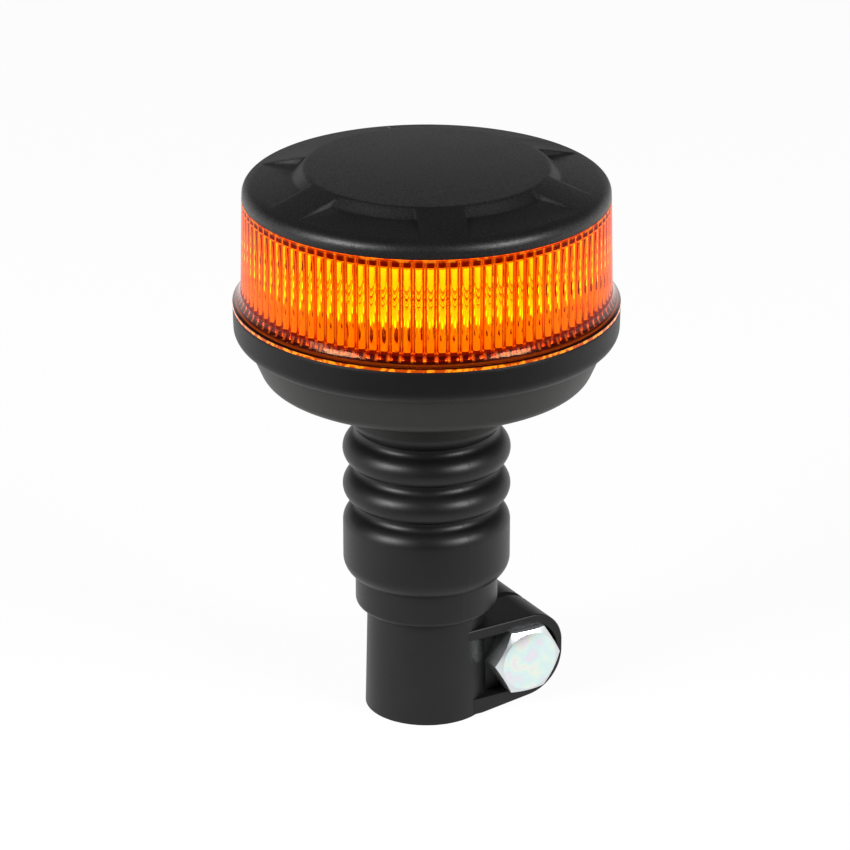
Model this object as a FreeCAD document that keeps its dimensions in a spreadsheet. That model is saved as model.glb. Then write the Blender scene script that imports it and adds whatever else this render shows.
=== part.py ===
import FreeCAD, Part
import math
import operator
import os
from collections import namedtuple
from types import SimpleNamespace

import Sketcher

# Amber warning beacon: a low round head on a rubber bellows stem over a clamp socket for a 24 mm spigot.
# Millimetres, +Z up. The origin is the centre of the socket's mouth and the clamp lug points along +X.

SIZES = {
    # clamp socket: a drafted tube with a split lug, and a neck that the rubber sleeve grips
    "spigot_diameter": 24.0,
    "spigot_clearance": 0.3,
    "socket_depth": 36.0,
    "tube_wall": 3.65,
    "tube_taper": 0.62,
    "tube_height": 28.6,
    "neck_step": 0.75,
    "neck_height": 18.4,
    "bead_rise": 1.8,
    "bead_width": 3.0,
    "bead_drop": 1.5,
    "lug_half_thickness": 15.0,
    "lug_end_radius": 11.3,
    "lug_corner_radius": 9.2,
    "lug_rise": 11.6,
    "lug_top_fall": 0.4,
    "lug_foot": 8.3,
    "lug_edge_round": 0.5,
    "clamp_slot": 2.4,
    "clamp_slot_overrun": 1.7,
    "recess_depth": 4.0,
    "recess_clearance": 0.1,
    # clamp fasteners, M10
    "bolt_offset": 21.0,
    "bolt_height": 13.0,
    "bolt_diameter": 10.0,
    "bolt_length": 40.0,
    "bolt_head_flats": 17.0,
    "bolt_head_height": 6.4,
    "bolt_hole_clearance": 0.5,
    "hex_chamfer": 0.95,
    "nut_height": 8.0,
    "thread_clearance": 0.05,
    "washer_radius": 10.5,
    "washer_thickness": 2.0,
    # electrical contacts at the top of the socket
    "ring_step": 0.5,
    "ring_thickness": 1.0,
    "ring_width": 2.0,
    "tongue_width": 2.4,
    "tongue_thickness": 0.8,
    "tongue_reach": 2.5,
    "chamber_wall": 1.1,
    "carrier_depth": 7.5,
    "carrier_flange_inset": 0.98,
    "carrier_flange_thickness": 2.5,
    "plunger_radius": 2.5,
    "plunger_head_radius": 3.9,
    "plunger_head_height": 1.5,
    "plunger_tip_recess": 0.4,
    "plunger_clearance": 0.05,
    "guide_length": 2.5,
    "spring_chamber_gap": 0.4,
    "spring_wire_radius": 0.3,
    "spring_turns": 5.0,
    "terminal_thickness": 1.0,
    "terminal_width": 6.0,
    "carrier_screw_inset": 1.8,
    "carrier_screw_radius": 1.1,
    "carrier_screw_head_radius": 2.1,
    "carrier_screw_head_height": 1.4,
    "carrier_screw_length": 9.0,
    "screw_tip_room": 0.5,
    # rubber stem
    "sleeve_radius": 18.36,
    "sleeve_round": 1.55,
    "sleeve_height": 8.75,
    "barrel_radius": 21.5,
    "barrel_flare": 4.6,
    "barrel_height": 9.75,
    "bellows_ring_radius": 4.07,
    "bellows_pitch": 10.1,
    "groove_rise": 0.5,
    "groove_round": 1.3,
    "stem_top_groove": 1.76,
    "stem_flare": 0.9,
    "stem_top_lip": 3.0,
    "stem_bore_radius": 12.0,
    "stem_throat": 8.0,
    "stem_fit": 0.1,
    # bush, washer and nut that hold the stem in the bowl
    "bush_flange_radius": 15.5,
    "bush_flange_thickness": 3.0,
    "bush_radius": 8.0,
    "bush_bore_radius": 5.5,
    "bush_reach": 6.7,
    "stem_washer_radius": 14.0,
    "stem_washer_thickness": 1.2,
    "stem_nut_flats": 24.0,
    "stem_nut_height": 4.0,
    # leads through the stem
    "lead_radius": 1.1,
    "return_lead_offset": 4.0,
    "lead_first_run": 5.8,
    "lead_slant_rise": 12.0,
    # bowl under the base
    "collar_radius": 20.6,
    "collar_height": 10.19,
    "bowl_step": 3.3,
    "bowl_lean": 4.6,
    "bowl_height": 10.55,
    "bowl_wall": 2.6,
    "bowl_round": 4.38,
    # base housing
    "base_radius": 48.86,
    "base_draft": 0.2,
    "base_height": 9.15,
    "base_round": 3.47,
    "base_floor": 3.0,
    "opening_edge": 1.7,
    "rim_wall": 1.6,
    "rim_height": 2.4,
    # boards and heat sink
    "standoff_height": 1.4,
    "board_hole_floor": 0.85,
    "board_thickness": 1.6,
    "sink_thickness": 3.0,
    "board_gap": 0.8,
    "driver_gap": 2.0,
    "driver_drop": 0.25,
    "boss_radius": 3.2,
    "board_screw_edge": 0.4,
    "adapter_screw_inset": 5.3,
    "driver_screw_inset": 5.0,
    "screw_radius": 1.5,
    "screw_clearance": 0.1,
    "screw_head_radius": 2.8,
    "screw_head_height": 1.8,
    "screw_grip": 6.0,
    "led_circle": 20.5,
    "led_width": 3.5,
    "led_height": 1.0,
    "led_dome_radius": 1.4,
    "component_gap": 1.8,
    "capacitor_radius": 4.0,
    "capacitor_height": 6.5,
    "choke_radius": 5.5,
    "choke_height": 5.0,
    "chip_length": 6.0,
    "chip_width": 5.0,
    "chip_height": 1.6,
    "string_circle": 26.5,
    "resistor_length": 3.2,
    "resistor_width": 1.6,
    "resistor_height": 0.7,
    # lens
    "lens_height": 27.9,
    "lens_flange": 2.11,
    "lens_draft": 0.59,
    "lens_wall": 3.15,
    "lens_lead_in": 1.1,
    "lens_flare_height": 4.3,
    "lens_flange_edge": 0.8,
    "lens_flare_radius": 4.8,
    "flute_count": 100.0,
    "flute_depth": 0.95,
    "flute_land": 0.1,
    "flute_foot": 0.6,
    # gaskets
    "gasket_width": 1.8,
    "thin_gasket_width": 0.8,
    "gasket_thickness": 1.0,
    "gasket_fit": 0.1,
    "lens_gasket_inset": 2.96,
    # reflector
    "reflector_foot_radius": 13.0,
    "reflector_wall": 1.5,
    "reflector_rim_gap": 0.75,
    "reflector_rim": 0.6,
    "reflector_foot_height": 1.2,
    "reflector_curve": 34.0,
    "reflector_bead_rise": 2.6,
    "reflector_bead_lean": 1.28,
    "reflector_bead_round": 2.2,
    # cap
    "cap_inset": 0.06,
    "cap_edge_height": 3.35,
    "cap_rise": 4.6,
    "cap_crown": 0.3,
    "cap_round": 2.74,
    "cap_wall": 2.6,
    "cap_slope_run": 15.6,
    "register_depth": 3.0,
    "register_width": 3.5,
    "register_clearance": 0.25,
    "pocket_ramp": 2.9,
    "pocket_depth": 2.4,
    "pocket_fall": 0.137,
    "pocket_start": 0.3,
    "spoke_width": 11.6,
    "spoke_angle": 6.0,
    "post_circle": 7.4,
    "post_radius": 3.2,
    "head_screw_reach": 14.0,
}

POCKETS = 6
LEDS = 16
BOARD_SCREWS = 4
ADAPTER_SCREWS = 4
DRIVER_SCREWS = 3
REFLECTOR_BEADS = 3
POSTS = 3
POST_ANGLE = 30.0
CAPACITOR_ANGLES = (60, 300)
CHOKE_ANGLE = 180
CHIP_ANGLES = (25, 335)
STRING_CHIP_ANGLES = (102, 222, 342)
RESISTOR_TURNS = (30, 50, 70, 90)  # from the chip of its own string of LEDs
HEX_CHAMFER_ANGLE = 30.0
BEND_SHARE = 0.45  # how much of each run of a lead its bend takes up
CUT_MARGIN = 1.0  # how far a cutting solid runs past the face that it opens
TOUCH = 1e-4      # how close an edge must be to the place it is looked for

OPERATIONS = {"+": operator.add, "-": operator.sub, "*": operator.mul, "/": operator.truediv}


class Term:
    """A size: its value now, and the sheet expression that keeps it up to date."""

    def __init__(self, text, value):
        self.text = text
        self.value = value

    def __add__(self, other):
        return combine(self, "+", other)

    def __radd__(self, other):
        return combine(other, "+", self)

    def __sub__(self, other):
        return combine(self, "-", other)

    def __rsub__(self, other):
        return combine(other, "-", self)

    def __mul__(self, other):
        return combine(self, "*", other)

    def __rmul__(self, other):
        return combine(other, "*", self)

    def __truediv__(self, other):
        return combine(self, "/", other)

    def __neg__(self):
        return combine(0, "-", self)


def term(size):
    if isinstance(size, Term):
        return size
    value = round(float(size), 9)
    return Term(f"({value})", value)


def combine(left, sign, right):
    left, right = term(left), term(right)
    return Term(f"({left.text} {sign} {right.text})", OPERATIONS[sign](left.value, right.value))


def root(size):
    return Term(f"sqrt({size.text})", math.sqrt(size.value))


def polar(radius, degrees):
    return radius * math.cos(math.radians(degrees)), radius * math.sin(math.radians(degrees))


def ring_of_spots(radius, count, first=0.0):
    """Evenly spaced places on a circle, the first one at this angle."""
    return [polar(radius, first + 360.0 * step / count) for step in range(count)]


doc = FreeCAD.newDocument("beacon")
sheet = doc.addObject("Spreadsheet::Sheet", "sizes")
for row, (alias, number) in enumerate(SIZES.items(), 1):
    sheet.set(f"A{row}", alias)
    sheet.set(f"B{row}", str(number))
    sheet.setAlias(f"B{row}", alias)
doc.recompute()
s = SimpleNamespace(**{alias: Term(f"sizes.{alias}", number) for alias, number in SIZES.items()})
nodes = []


def bind(thing, prop, size):
    """Drive a property from the sheet."""
    thing.setExpression(prop, term(size).text)


def place(thing, x=0, y=0, z=0):
    for axis, size in (("x", x), ("y", y), ("z", z)):
        if isinstance(size, Term):
            bind(thing, f"Placement.Base.{axis}", size)
    start = FreeCAD.Vector(term(x).value, term(y).value, term(z).value)
    thing.Placement = FreeCAD.Placement(start, thing.Placement.Rotation)


def node(thing, label):
    """Make this object one of the part's pieces."""
    thing.Label = label
    nodes.append(thing)
    return thing


# An outline is a list of points. A point may carry a Curve: the side that leaves it is then an arc.
# A turn of +1 bends to the left along the outline and -1 to the right.
Curve = namedtuple("Curve", "radius turn")
Circle = namedtuple("Circle", "x y radius")


def circles(spots, radius):
    return [Circle(x, y, radius) for x, y in spots]


def arc_between(start, end, curve):
    radius = term(curve.radius).value
    chord = end - start
    half = chord.Length / 2
    side = FreeCAD.Vector(-chord.y, chord.x, 0).normalize() * curve.turn
    centre = start + chord * 0.5 + side * math.sqrt(max(radius * radius - half * half, 0))
    first, last = (start, end) if curve.turn > 0 else (end, start)
    angle = [math.atan2(point.y - centre.y, point.x - centre.x) for point in (first, last)]
    if angle[1] < angle[0]:
        angle[1] += 2 * math.pi
    return Part.ArcOfCircle(Part.Circle(centre, FreeCAD.Vector(0, 0, 1), radius), *angle)


def fix(drawing, kind, *where, size):
    """Add one dimension to a sketch and drive it from the sheet."""
    index = drawing.addConstraint(Sketcher.Constraint(kind, *where, term(size).value))
    if isinstance(size, Term):
        bind(drawing, f"Constraints[{index}]", size)


def draw_circle(drawing, circle):
    centre = FreeCAD.Vector(term(circle.x).value, term(circle.y).value, 0)
    shape = Part.Circle(centre, FreeCAD.Vector(0, 0, 1), term(circle.radius).value)
    geo = drawing.addGeometry(shape, False)
    fix(drawing, "DistanceX", -1, 1, geo, 3, size=circle.x)
    fix(drawing, "DistanceY", -1, 1, geo, 3, size=circle.y)
    fix(drawing, "Radius", geo, size=circle.radius)


def draw_outline(drawing, outline, closed=True):
    places = [FreeCAD.Vector(term(point[0]).value, term(point[1]).value, 0) for point in outline]
    sides = len(outline) if closed else len(outline) - 1
    ends = []
    for step in range(sides):
        point, start, end = outline[step], places[step], places[(step + 1) % len(outline)]
        curve = point[2] if len(point) > 2 else None
        shape = arc_between(start, end, curve) if curve else Part.LineSegment(start, end)
        geo = drawing.addGeometry(shape, False)
        flipped = curve is not None and curve.turn < 0
        ends.append((geo, 2, 1) if flipped else (geo, 1, 2))
    for step, (geo, first, last) in enumerate(ends):
        if closed or step + 1 < sides:
            after = ends[(step + 1) % sides]
            drawing.addConstraint(Sketcher.Constraint("Coincident", geo, last, after[0], after[1]))
    anchors = [(geo, first) for geo, first, last in ends]
    if not closed:
        anchors.append((ends[-1][0], ends[-1][2]))
    for point, (geo, spot) in zip(outline, anchors):
        fix(drawing, "DistanceX", -1, 1, geo, spot, size=point[0])
        fix(drawing, "DistanceY", -1, 1, geo, spot, size=point[1])
    for point, (geo, first, last) in zip(outline, ends):
        if len(point) > 2:
            fix(drawing, "Radius", geo, size=point[2].radius)


def origin_part(body, role):
    return next(feature for feature in body.Origin.OriginFeatures if feature.Role == role)


def sketch(body, name, plane, shapes, lift=0, closed=True):
    drawing = body.newObject("Sketcher::SketchObject", name)
    drawing.AttachmentSupport = [(origin_part(body, plane), "")]
    drawing.MapMode = "FlatFace"
    drawing.AttachmentOffset = FreeCAD.Placement(FreeCAD.Vector(0, 0, term(lift).value), FreeCAD.Rotation())
    if isinstance(lift, Term):
        bind(drawing, "AttachmentOffset.Base.z", lift)
    for shape in shapes:
        if isinstance(shape, Circle):
            draw_circle(drawing, shape)
        else:
            draw_outline(drawing, shape, closed)
    return drawing


def new_body(label):
    return node(doc.addObject("PartDesign::Body", label), label)


def revolve(body, name, outline, kind="Revolution"):
    """Turn a profile of (radius, height) points about the upright axis. A Groove cuts it away instead."""
    drawing = sketch(body, name + "_profile", "XZ_Plane", [outline])
    feature = body.newObject("PartDesign::" + kind, name)
    feature.Profile = drawing
    feature.ReferenceAxis = (drawing, ["V_Axis"])
    feature.Angle = 360
    return feature


def extrude(body, name, plane, shapes, length, lift=0, kind="Pad", both_ways=False, turn_back=False):
    drawing = sketch(body, name + "_outline", plane, shapes, lift)
    feature = body.newObject("PartDesign::" + kind, name)
    feature.Profile = drawing
    feature.SideType = "Symmetric" if both_ways else "One side"
    feature.Reversed = turn_back
    bind(feature, "Length", length)
    return feature


def cut_up(body, name, shapes, base, height):
    """Cut outlines upward from a level, past the face above it."""
    return extrude(body, name, "XY_Plane", shapes, height, lift=base, kind="Pocket", turn_back=True)


def round_edges(body, name, radius, wanted):
    doc.recompute()
    base = body.Tip
    names = [f"Edge{index}" for index, edge in enumerate(base.Shape.Edges, 1) if wanted(edge)]
    if not names:
        raise RuntimeError(f"no edge to round for {name}")
    fillet = body.newObject("PartDesign::Fillet", name)
    fillet.Base = (base, names)
    bind(fillet, "Radius", radius)
    return fillet


def ring_at(radius, height):
    """Pick the round edge of this radius at this height."""
    def wanted(edge):
        if edge.Degenerated or not isinstance(edge.Curve, Part.Circle):
            return False
        right_size = abs(edge.Curve.Radius - radius.value) < TOUCH
        return right_size and abs(edge.Curve.Center.z - height.value) < TOUCH
    return wanted


def around(body, feature, count):
    """Repeat a feature about the upright axis."""
    pattern = body.newObject("PartDesign::PolarPattern", feature.Name + "_ring")
    pattern.Originals = [feature]
    pattern.Axis = (origin_part(body, "Z_Axis"), [""])
    pattern.Angle = 360
    pattern.Occurrences = count
    body.Tip = pattern
    return pattern


def ring_piece(label, inner, outer, base, height):
    """A plain ring, washer or flat gasket."""
    body = new_body(label)
    top = base + height
    revolve(body, label + "_turn", [(inner, base), (outer, base), (outer, top), (inner, top)])
    return body


def primitive(kind, name, x=0, y=0, z=0, **sizes):
    thing = doc.addObject("Part::" + kind, name)
    for prop, size in sizes.items():
        bind(thing, prop, size)
    place(thing, x, y, z)
    return thing


def screws(label, spots, seat, down, up_side=1):
    """Pan-head screws in one node: heads on a seat level, shanks down from it, or up where up_side is -1."""
    solids = []
    for index, (x, y) in enumerate(spots):
        head_base = seat if up_side > 0 else seat - s.screw_head_height
        shank_base = seat - down if up_side > 0 else seat
        head = primitive("Cylinder", f"{label}_head_{index}", x, y, head_base,
                         Radius=s.screw_head_radius, Height=s.screw_head_height)
        shank = primitive("Cylinder", f"{label}_shank_{index}", x, y, shank_base,
                          Radius=s.screw_radius, Height=down)
        solids.append(joined(f"{label}_{index}", [head, shank]))
    return group(label, solids)


def joined(name, pieces):
    fuse = doc.addObject("Part::MultiFuse", name)
    fuse.Shapes = pieces
    return fuse


def less(name, base, tool):
    cut = doc.addObject("Part::Cut", name)
    cut.Base = base
    cut.Tool = tool
    return cut


def group(label, solids):
    compound = doc.addObject("Part::Compound", label)
    compound.Links = solids
    return node(compound, label)


# Levels, from the socket's mouth upward, and the radii that fit each other
bore_radius = s.spigot_diameter / 2 + s.spigot_clearance
tube_radius = bore_radius + s.tube_wall
tube_top_radius = tube_radius - s.tube_taper
neck_radius = tube_top_radius - s.neck_step
neck_top = s.tube_height + s.neck_height
carrier_top = neck_top + s.carrier_flange_thickness
terminal_top = carrier_top + s.terminal_thickness
sleeve_top = s.tube_height + s.sleeve_height
barrel_base = sleeve_top + s.barrel_flare
barrel_top = barrel_base + s.barrel_height
ring_centre_radius = s.barrel_radius - s.bellows_ring_radius
groove_radius = ring_centre_radius + s.groove_rise
ring_half = root(s.bellows_ring_radius * s.bellows_ring_radius - s.groove_rise * s.groove_rise)
upper_ring = barrel_top + 2 * s.bellows_pitch
flare_base = upper_ring + ring_half + s.stem_top_groove
stem_top = flare_base + s.stem_flare + s.stem_top_lip
ring_seat_radius = bore_radius - s.ring_step
tongue_radius = ring_seat_radius - s.gasket_fit - s.ring_width / 2
chamber_radius = tongue_radius - s.tongue_thickness / 2 - s.chamber_wall
carrier_flange_radius = neck_radius - s.carrier_flange_inset
carrier_screw_offset = chamber_radius + s.carrier_screw_inset
bowl_base = stem_top + s.collar_height
bowl_floor_top = bowl_base + s.bowl_wall
base_bottom = bowl_base + s.bowl_height
base_floor_top = base_bottom + s.base_floor
base_top = base_bottom + s.base_height
sink_base = base_floor_top + s.standoff_height
board_base = sink_base + s.sink_thickness
board_top = board_base + s.board_thickness
driver_base = base_bottom - s.driver_drop
lens_top = base_top + s.lens_height
register_base = lens_top - s.register_depth
lens_foot_radius = s.base_radius - s.lens_flange
lens_top_radius = lens_foot_radius - s.lens_draft
lens_bore_radius = lens_foot_radius - s.lens_wall
lens_gasket_radius = s.base_radius - s.lens_gasket_inset
flute_tip_radius = lens_bore_radius - s.flute_depth
register_radius = flute_tip_radius - s.register_clearance
base_inner_radius = register_radius - s.rim_wall
board_radius = base_inner_radius - s.board_gap
board_screw_circle = board_radius - s.screw_head_radius - s.board_screw_edge
bowl_rim_radius = s.base_radius - s.bowl_step
bowl_floor_radius = bowl_rim_radius - s.bowl_lean
bowl_inner_rim = bowl_rim_radius - s.bowl_wall
adapter_screw_circle = bowl_inner_rim - s.adapter_screw_inset
base_opening_radius = adapter_screw_circle - s.screw_head_radius - s.opening_edge
driver_radius = base_opening_radius - s.driver_gap
driver_screw_circle = driver_radius - s.driver_screw_inset
component_circle = s.stem_nut_flats / math.sqrt(3) + s.component_gap + s.choke_radius
cap_radius = lens_top_radius - s.cap_inset
disc_radius = cap_radius - s.cap_slope_run
cap_corner = lens_top + s.cap_edge_height
disc_height = cap_corner + s.cap_rise

board_screw_spots = ring_of_spots(board_screw_circle, BOARD_SCREWS, 180.0 / BOARD_SCREWS)
adapter_screw_spots = ring_of_spots(adapter_screw_circle, ADAPTER_SCREWS)
driver_screw_spots = ring_of_spots(driver_screw_circle, DRIVER_SCREWS)
post_spots = ring_of_spots(s.post_circle, POSTS, POST_ANGLE)
screw_hole = s.screw_radius + s.screw_clearance


# Clamp socket: the lug is padded and its front recessed, then the drafted tube is turned through it
socket = new_body("clamp_socket")
lug_top = s.bolt_height + s.lug_rise
lug_end = s.bolt_offset + s.lug_end_radius
foot_run = s.bolt_offset - s.lug_foot
foot_span = foot_run * foot_run + s.bolt_height * s.bolt_height
foot_line = root(foot_span - s.lug_end_radius * s.lug_end_radius)
foot_along = (foot_run * foot_line + s.bolt_height * s.lug_end_radius) / foot_span
foot_upward = (s.bolt_height * foot_line - foot_run * s.lug_end_radius) / foot_span
extrude(socket, "lug", "XZ_Plane", [[
    (0, 0),
    (s.lug_foot, 0),
    (s.lug_foot + foot_line * foot_along, foot_line * foot_upward, Curve(s.lug_end_radius, 1)),
    (lug_end, s.bolt_height),
    (lug_end, lug_top - s.lug_corner_radius, Curve(s.lug_corner_radius, 1)),
    (lug_end - s.lug_corner_radius, lug_top),
    (0, lug_top - s.lug_top_fall),
]], 2 * s.lug_half_thickness, both_ways=True)


def on_lug_face(edge):
    """The outer edge of the lug's two flat sides, beyond the tube."""
    box = edge.BoundBox
    flat = box.YLength < TOUCH and abs(abs(box.YMin) - s.lug_half_thickness.value) < TOUCH
    return flat and box.XMax > TOUCH


round_edges(socket, "lug_round", s.lug_edge_round, on_lug_face)
hex_half = s.bolt_head_flats / 2
hex_corner = s.bolt_head_flats / math.sqrt(3)
rail_half = hex_half + s.recess_clearance
recess_radius = hex_corner + s.recess_clearance
recess_end = s.bolt_offset + root(recess_radius * recess_radius - rail_half * rail_half)
extrude(socket, "recess", "XZ_Plane", [[
    (0, s.bolt_height - rail_half),
    (recess_end, s.bolt_height - rail_half, Curve(recess_radius, 1)),
    (recess_end, s.bolt_height + rail_half),
    (0, s.bolt_height + rail_half),
]], s.recess_depth, lift=s.lug_half_thickness, kind="Pocket")
bead_top = neck_top - s.bead_drop
revolve(socket, "tube", [
    (0, 0),
    (tube_radius, 0),
    (tube_top_radius, s.tube_height),
    (neck_radius, s.tube_height),
    (neck_radius, bead_top - s.bead_width),
    (neck_radius + s.bead_rise, bead_top - s.bead_width),
    (neck_radius + s.bead_rise, bead_top - s.bead_width / 2),
    (neck_radius, bead_top),
    (neck_radius, neck_top),
    (0, neck_top),
])
ring_seat = s.socket_depth + s.ring_thickness
revolve(socket, "bore", [
    (0, -CUT_MARGIN),
    (bore_radius, -CUT_MARGIN),
    (bore_radius, s.socket_depth),
    (ring_seat_radius, s.socket_depth),
    (ring_seat_radius, ring_seat),
    (chamber_radius, ring_seat),
    (chamber_radius, neck_top + CUT_MARGIN),
    (0, neck_top + CUT_MARGIN),
], kind="Groove")
extrude(socket, "split", "XZ_Plane", [[
    (0, -CUT_MARGIN),
    (lug_end + CUT_MARGIN, -CUT_MARGIN),
    (lug_end + CUT_MARGIN, lug_top + s.clamp_slot_overrun),
    (0, lug_top + s.clamp_slot_overrun),
]], s.clamp_slot, kind="Pocket", both_ways=True)
bolt_radius = s.bolt_diameter / 2
bolt_hole = Circle(s.bolt_offset, s.bolt_height, bolt_radius + s.bolt_hole_clearance)
extrude(socket, "bolt_hole", "XZ_Plane", [bolt_hole],
        2 * s.lug_half_thickness + CUT_MARGIN, kind="Pocket", both_ways=True)


def tongue_outline(fit):
    """The plan of the return tongue, on the +Y side, with room all round."""
    half_width = s.tongue_width / 2 + fit
    near = tongue_radius - s.tongue_thickness / 2 - fit
    far = tongue_radius + s.tongue_thickness / 2 + fit
    return [(-half_width, near), (half_width, near), (half_width, far), (-half_width, far)]


cut_up(socket, "tongue_slot", [tongue_outline(s.gasket_fit)], s.socket_depth, s.neck_height)
carrier_screw_spots = [(carrier_screw_offset, 0), (-carrier_screw_offset, 0)]
carrier_hole = s.carrier_screw_radius + s.screw_clearance
screw_depth = s.carrier_screw_length - s.carrier_flange_thickness - s.terminal_thickness + s.screw_tip_room
cut_up(socket, "screw_holes", circles(carrier_screw_spots, carrier_hole),
       neck_top - screw_depth, screw_depth + CUT_MARGIN)

# Clamp bolt: its hexagon lies between the rails of the recess, so that only the nut turns
hex_lay = FreeCAD.Rotation(FreeCAD.Vector(1, 0, 0), 90)
nut_lay = FreeCAD.Rotation(FreeCAD.Vector(1, 0, 0), -90)


def hexagon(name, flats, height, lay, y, both_faces):
    """A hexagon prism whose corners are turned down on its outer face, or on both."""
    prism = primitive("Prism", name + "_prism", Circumradius=flats / math.sqrt(3), Height=height)
    face = flats / 2 - s.hex_chamfer
    wide = face + height / math.tan(math.radians(HEX_CHAMFER_ANGLE))
    solids = [prism, primitive("Cone", name + "_cone", Radius1=wide, Radius2=face, Height=height)]
    if both_faces:
        solids.append(primitive("Cone", name + "_under", Radius1=face, Radius2=wide, Height=height))
    common = doc.addObject("Part::MultiCommon", name)
    common.Shapes = solids
    common.Placement.Rotation = lay
    place(common, s.bolt_offset, y, s.bolt_height)
    return common


head_seat = s.recess_depth - s.lug_half_thickness
bolt_head = hexagon("bolt_head", s.bolt_head_flats, s.bolt_head_height, hex_lay, head_seat, False)
shank = primitive("Cylinder", "bolt_shank", Radius=bolt_radius, Height=s.bolt_length)
shank.Placement.Rotation = nut_lay
place(shank, s.bolt_offset, head_seat, s.bolt_height)
node(joined("clamp_bolt", [bolt_head, shank]), "clamp_bolt")

washer_hole = bolt_radius + s.bolt_hole_clearance / 2
washer = new_body("clamp_washer")
extrude(washer, "washer_plate", "XZ_Plane", [
    Circle(s.bolt_offset, s.bolt_height, s.washer_radius),
    Circle(s.bolt_offset, s.bolt_height, washer_hole),
], s.washer_thickness, lift=-(s.lug_half_thickness + s.washer_thickness))

nut_seat = s.lug_half_thickness + s.washer_thickness
nut_body = hexagon("nut_hexagon", s.bolt_head_flats, s.nut_height, nut_lay, nut_seat, True)
nut_bore = primitive("Cylinder", "nut_bore", Radius=bolt_radius + s.thread_clearance,
                     Height=s.nut_height + 2 * CUT_MARGIN)
nut_bore.Placement.Rotation = nut_lay
place(nut_bore, s.bolt_offset, nut_seat - CUT_MARGIN, s.bolt_height)
node(less("clamp_nut", nut_body, nut_bore), "clamp_nut")

# Contacts: an insulating carrier on the neck, a sprung live plunger, and a return ring for the spigot's rim
carrier_base = neck_top - s.carrier_depth
guide_top = carrier_base + s.guide_length
spring_room = s.plunger_head_radius + s.spring_chamber_gap
carrier = new_body("contact_carrier")
revolve(carrier, "carrier_turn", [
    (s.plunger_radius + s.plunger_clearance, carrier_base),
    (chamber_radius - s.gasket_fit, carrier_base),
    (chamber_radius - s.gasket_fit, neck_top),
    (carrier_flange_radius, neck_top),
    (carrier_flange_radius, carrier_top),
    (spring_room, carrier_top),
    (spring_room, guide_top),
    (s.plunger_radius + s.plunger_clearance, guide_top),
])
cut_up(carrier, "carrier_holes",
       circles(carrier_screw_spots, carrier_hole) + [tongue_outline(s.gasket_fit)],
       neck_top - CUT_MARGIN, s.carrier_flange_thickness + 2 * CUT_MARGIN)

plunger = new_body("centre_contact")
plunger_tip = s.socket_depth + s.plunger_tip_recess
revolve(plunger, "plunger_turn", [
    (0, plunger_tip),
    (s.plunger_radius / 2, plunger_tip),
    (s.plunger_radius, plunger_tip + s.plunger_radius / 2),
    (s.plunger_radius, guide_top),
    (s.plunger_head_radius, guide_top),
    (s.plunger_head_radius, guide_top + s.plunger_head_height),
    (0, guide_top + s.plunger_head_height),
])

spring = new_body("contact_spring")
spring_base = guide_top + s.plunger_head_height
spring_room_height = carrier_top - spring_base - 2 * s.spring_wire_radius
coil_radius = s.plunger_head_radius - s.spring_wire_radius - s.spring_chamber_gap
wire = sketch(spring, "wire_section", "XZ_Plane",
              [Circle(coil_radius, spring_base + s.spring_wire_radius, s.spring_wire_radius)])
coil = spring.newObject("PartDesign::AdditiveHelix", "coil")
coil.Profile = wire
coil.ReferenceAxis = (wire, ["V_Axis"])
coil.Mode = "height-turns-angle"
bind(coil, "Height", spring_room_height)
bind(coil, "Turns", s.spring_turns)

terminal = new_body("terminal_plate")
terminal_half = s.terminal_width / 2
end_turn = Curve(terminal_half, 1)
extrude(terminal, "terminal_strip", "XY_Plane", [[
    (-carrier_screw_offset, -terminal_half),
    (carrier_screw_offset, -terminal_half, end_turn),
    (carrier_screw_offset + terminal_half, 0, end_turn),
    (carrier_screw_offset, terminal_half),
    (-carrier_screw_offset, terminal_half, end_turn),
    (-carrier_screw_offset - terminal_half, 0, end_turn),
]] + circles(carrier_screw_spots, carrier_hole), s.terminal_thickness, lift=carrier_top)

earth = new_body("earth_ring")
revolve(earth, "ring_turn", [
    (ring_seat_radius - s.gasket_fit - s.ring_width, s.socket_depth),
    (ring_seat_radius - s.gasket_fit, s.socket_depth),
    (ring_seat_radius - s.gasket_fit, ring_seat),
    (ring_seat_radius - s.gasket_fit - s.ring_width, ring_seat),
])
tongue_top = carrier_top + s.tongue_reach
extrude(earth, "tongue", "XY_Plane", [tongue_outline(0)], tongue_top - s.socket_depth, lift=s.socket_depth)

carrier_screws = []
for index, (x, y) in enumerate(carrier_screw_spots):
    head = primitive("Cylinder", f"carrier_screw_head_{index}", x, y, terminal_top,
                     Radius=s.carrier_screw_head_radius, Height=s.carrier_screw_head_height)
    stalk = primitive("Cylinder", f"carrier_screw_shank_{index}", x, y, terminal_top - s.carrier_screw_length,
                      Radius=s.carrier_screw_radius, Height=s.carrier_screw_length)
    carrier_screws.append(joined(f"carrier_screw_{index}", [head, stalk]))
group("carrier_screws", carrier_screws)

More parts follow.
